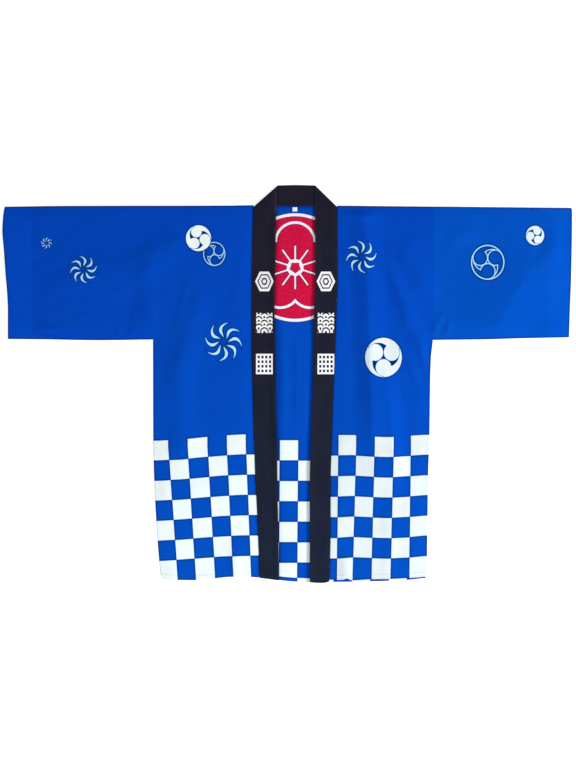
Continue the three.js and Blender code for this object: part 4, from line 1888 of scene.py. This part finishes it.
@dataclass
class Coat:
    """The whole coat: its panels, its collar and its sewing. The blue panels get painted darker and lighter
    copies of their blue, for weaker and stronger light.
    """

    parts: dict[str, Panel] = field(default_factory=dict)
    hem_stitches: float = 10.6

    def blue(self, name: str, ground: Colour, **more: object) -> Cotton:
        """Returns the blue printed cotton of one panel."""
        return Cotton(f"Printed blue tenjiku cotton, {name}", ground, **more)

    def build(self) -> None:
        """Builds the pieces in the order in which they lie on each other."""
        # Painted darker and lighter blues and a painted darker white, for weaker and stronger light
        shade_blue, lit_blue, dim_white = Colour.PAINTED_SHADE_BLUE, Colour.PAINTED_LIT_BLUE, Colour.PAINTED_DIM_WHITE
        left, right = HALVES[Side.LEFT], HALVES[Side.RIGHT]
        checked = {"checked": True, "hem_ground": lit_blue}
        band = Cotton(
            "Black tenjiku cotton with white print",
            Colour.BLACK,
            stamps=COLLAR_STAMPS,
            hem_ground=Colour.HEM_BLACK,
            ink=Colour.CLEAN_WHITE,
            edge=Colour.BLACK,
            rim=None,
            slub=0.3,
        )
        back = self.blue("back", Colour.BLUE, checks=BACK_CHECKS, checked=True, roundel=ROUNDEL)
        left_sleeve = self.blue("left sleeve", shade_blue, stamps=LEFT_SLEEVE_STAMPS, double=-left.cuff_turn)
        right_sleeve = self.blue(
            "right sleeve", lit_blue, stamps=RIGHT_SLEEVE_STAMPS, double=right.cuff_turn, ink=dim_white
        )
        left_front = self.blue(
            "left front",
            shade_blue,
            checks=LEFT_CHECKS,
            stamps=LEFT_FRONT_STAMPS,
            thick=Colour.THICK_WHITE,
            **checked,
        )
        right_front = self.blue(
            "right front", shade_blue, checks=RIGHT_CHECKS, stamps=RIGHT_FRONT_STAMPS, ink=dim_white, **checked
        )
        self.parts = {
            "back": Back(back),
            "left sleeve": Sleeve(left_sleeve, Side.LEFT),
            "right sleeve": Sleeve(right_sleeve, Side.RIGHT),
            "left front": Front(left_front, Side.LEFT),
            "right front": Front(right_front, Side.RIGHT),
            "neck run": NeckRun(band),
            "left collar run": CollarRun(band, Side.LEFT),
            "right collar run": CollarRun(band, Side.RIGHT),
            "label": Label(Cotton("White woven tape", Colour.TAPE, slub=0.03)),
        }
        for name, part in (self.parts | self.stitches()).items():
            log.info("%s: %d faces", name, len(part.build().data.polygons))

    def stitches(self) -> dict[str, Stitching]:
        """Runs stitches along the fronts' hems and both edges of the collar's runs.

        Returns:
            The stitches by name.
        """
        hems, bands = [], []
        for side, half in HALVES.items():
            front = self.parts[f"{side.value} front"].sheet()
            x, y = front.outer[..., 0], front.outer[..., 1]
            hems.append(front.line(y - half.hem(x) - self.hem_stitches, 0))
            run = self.parts[f"{side.value} collar run"]
            band = run.sheet()
            x = band.outer[..., 0]
            for edge, inset in ((x[:, :1], run.stitch_inset), (x[:, -1:], -run.stitch_inset)):
                line = band.line(x - edge - inset, 1)
                bands.append(line[line[:, 1] < run.stitch_top])
        blue = Yarn("Blue polyester sewing thread", Colour.THREAD)
        dark = Yarn("Dark polyester sewing thread", Colour.DARK_THREAD)
        return {
            "hem stitches": Stitching("hem_stitches", blue, "blue_cotton", hems),
            "collar stitches": Stitching("collar_stitches", dark, "black_cotton", bands),
        }


@dataclass(frozen=True)
class Lamp:
    """A soft round light that faces the coat's middle: its place and width in metres, its power in watts."""

    name: str
    at: tuple[float, float, float]
    size: float
    power: float

    def build(self) -> None:
        """Hangs the light."""
        light = bpy.data.lights.new(self.name, "AREA")
        light.shape, light.size, light.energy = "DISK", self.size, self.power
        lamp = bpy.data.objects.new(self.name, light)
        lamp.location = self.at
        lamp.rotation_euler = (-Vector(self.at)).to_track_quat("-Z", "Y").to_euler()
        bpy.context.scene.collection.objects.link(lamp)


@dataclass
class Studio:
    """The table, the soft light and the camera straight above, in metres."""

    lens: float = 100.0
    sensor: float = 36.0
    camera_at: tuple[float, float, float] = (0.0018, 0, 4.8)
    floor_half: float = 4.0
    floor_drop: float = 0.0004
    world: float = 0.25
    table: Finish = Acrylic("Opal acrylic over a light table", Colour.PAPER, 0.7)
    lamps: tuple[Lamp, ...] = (
        Lamp("Large soft light", (3.0, -0.45, 1.72), 1.3, 118.0),
        Lamp("Second soft light", (-0.85, -1.85, 1.9), 1.4, 38.5),
    )

    def floor(self) -> None:
        """Makes the pale table."""
        mesh = bpy.data.meshes.new("table_top")
        r, z = self.floor_half, -self.floor_drop
        mesh.from_pydata([(-r, -r, z), (r, -r, z), (r, r, z), (-r, r, z)], [], [(0, 1, 2, 3)])
        mesh.materials.append(self.table.material())
        table = bpy.data.objects.new("table_top", mesh)
        bpy.context.scene.collection.objects.link(table)

    def build(self) -> None:
        """Sets the floor, the lights, the world and the camera."""
        self.floor()
        for lamp in self.lamps:
            lamp.build()
        world = bpy.data.worlds.new("Studio")
        world.use_nodes = True
        background = world.node_tree.nodes["Background"]
        background.inputs["Color"].default_value = (1, 1, 1, 1)
        background.inputs["Strength"].default_value = self.world
        scene = bpy.context.scene
        scene.world = world
        scene.view_settings.view_transform = "Standard"
        camera = bpy.data.cameras.new("Camera")
        camera.lens, camera.sensor_width = self.lens, self.sensor
        view = bpy.data.objects.new("Camera", camera)
        view.location = self.camera_at
        scene.collection.objects.link(view)
        scene.camera = view


def main() -> None:
    """Builds the coat and the studio."""
    logging.basicConfig(level=logging.INFO, format="%(name)s: %(message)s")
    Coat().build()
    Studio().build()


if __name__ == "__main__":
    main()
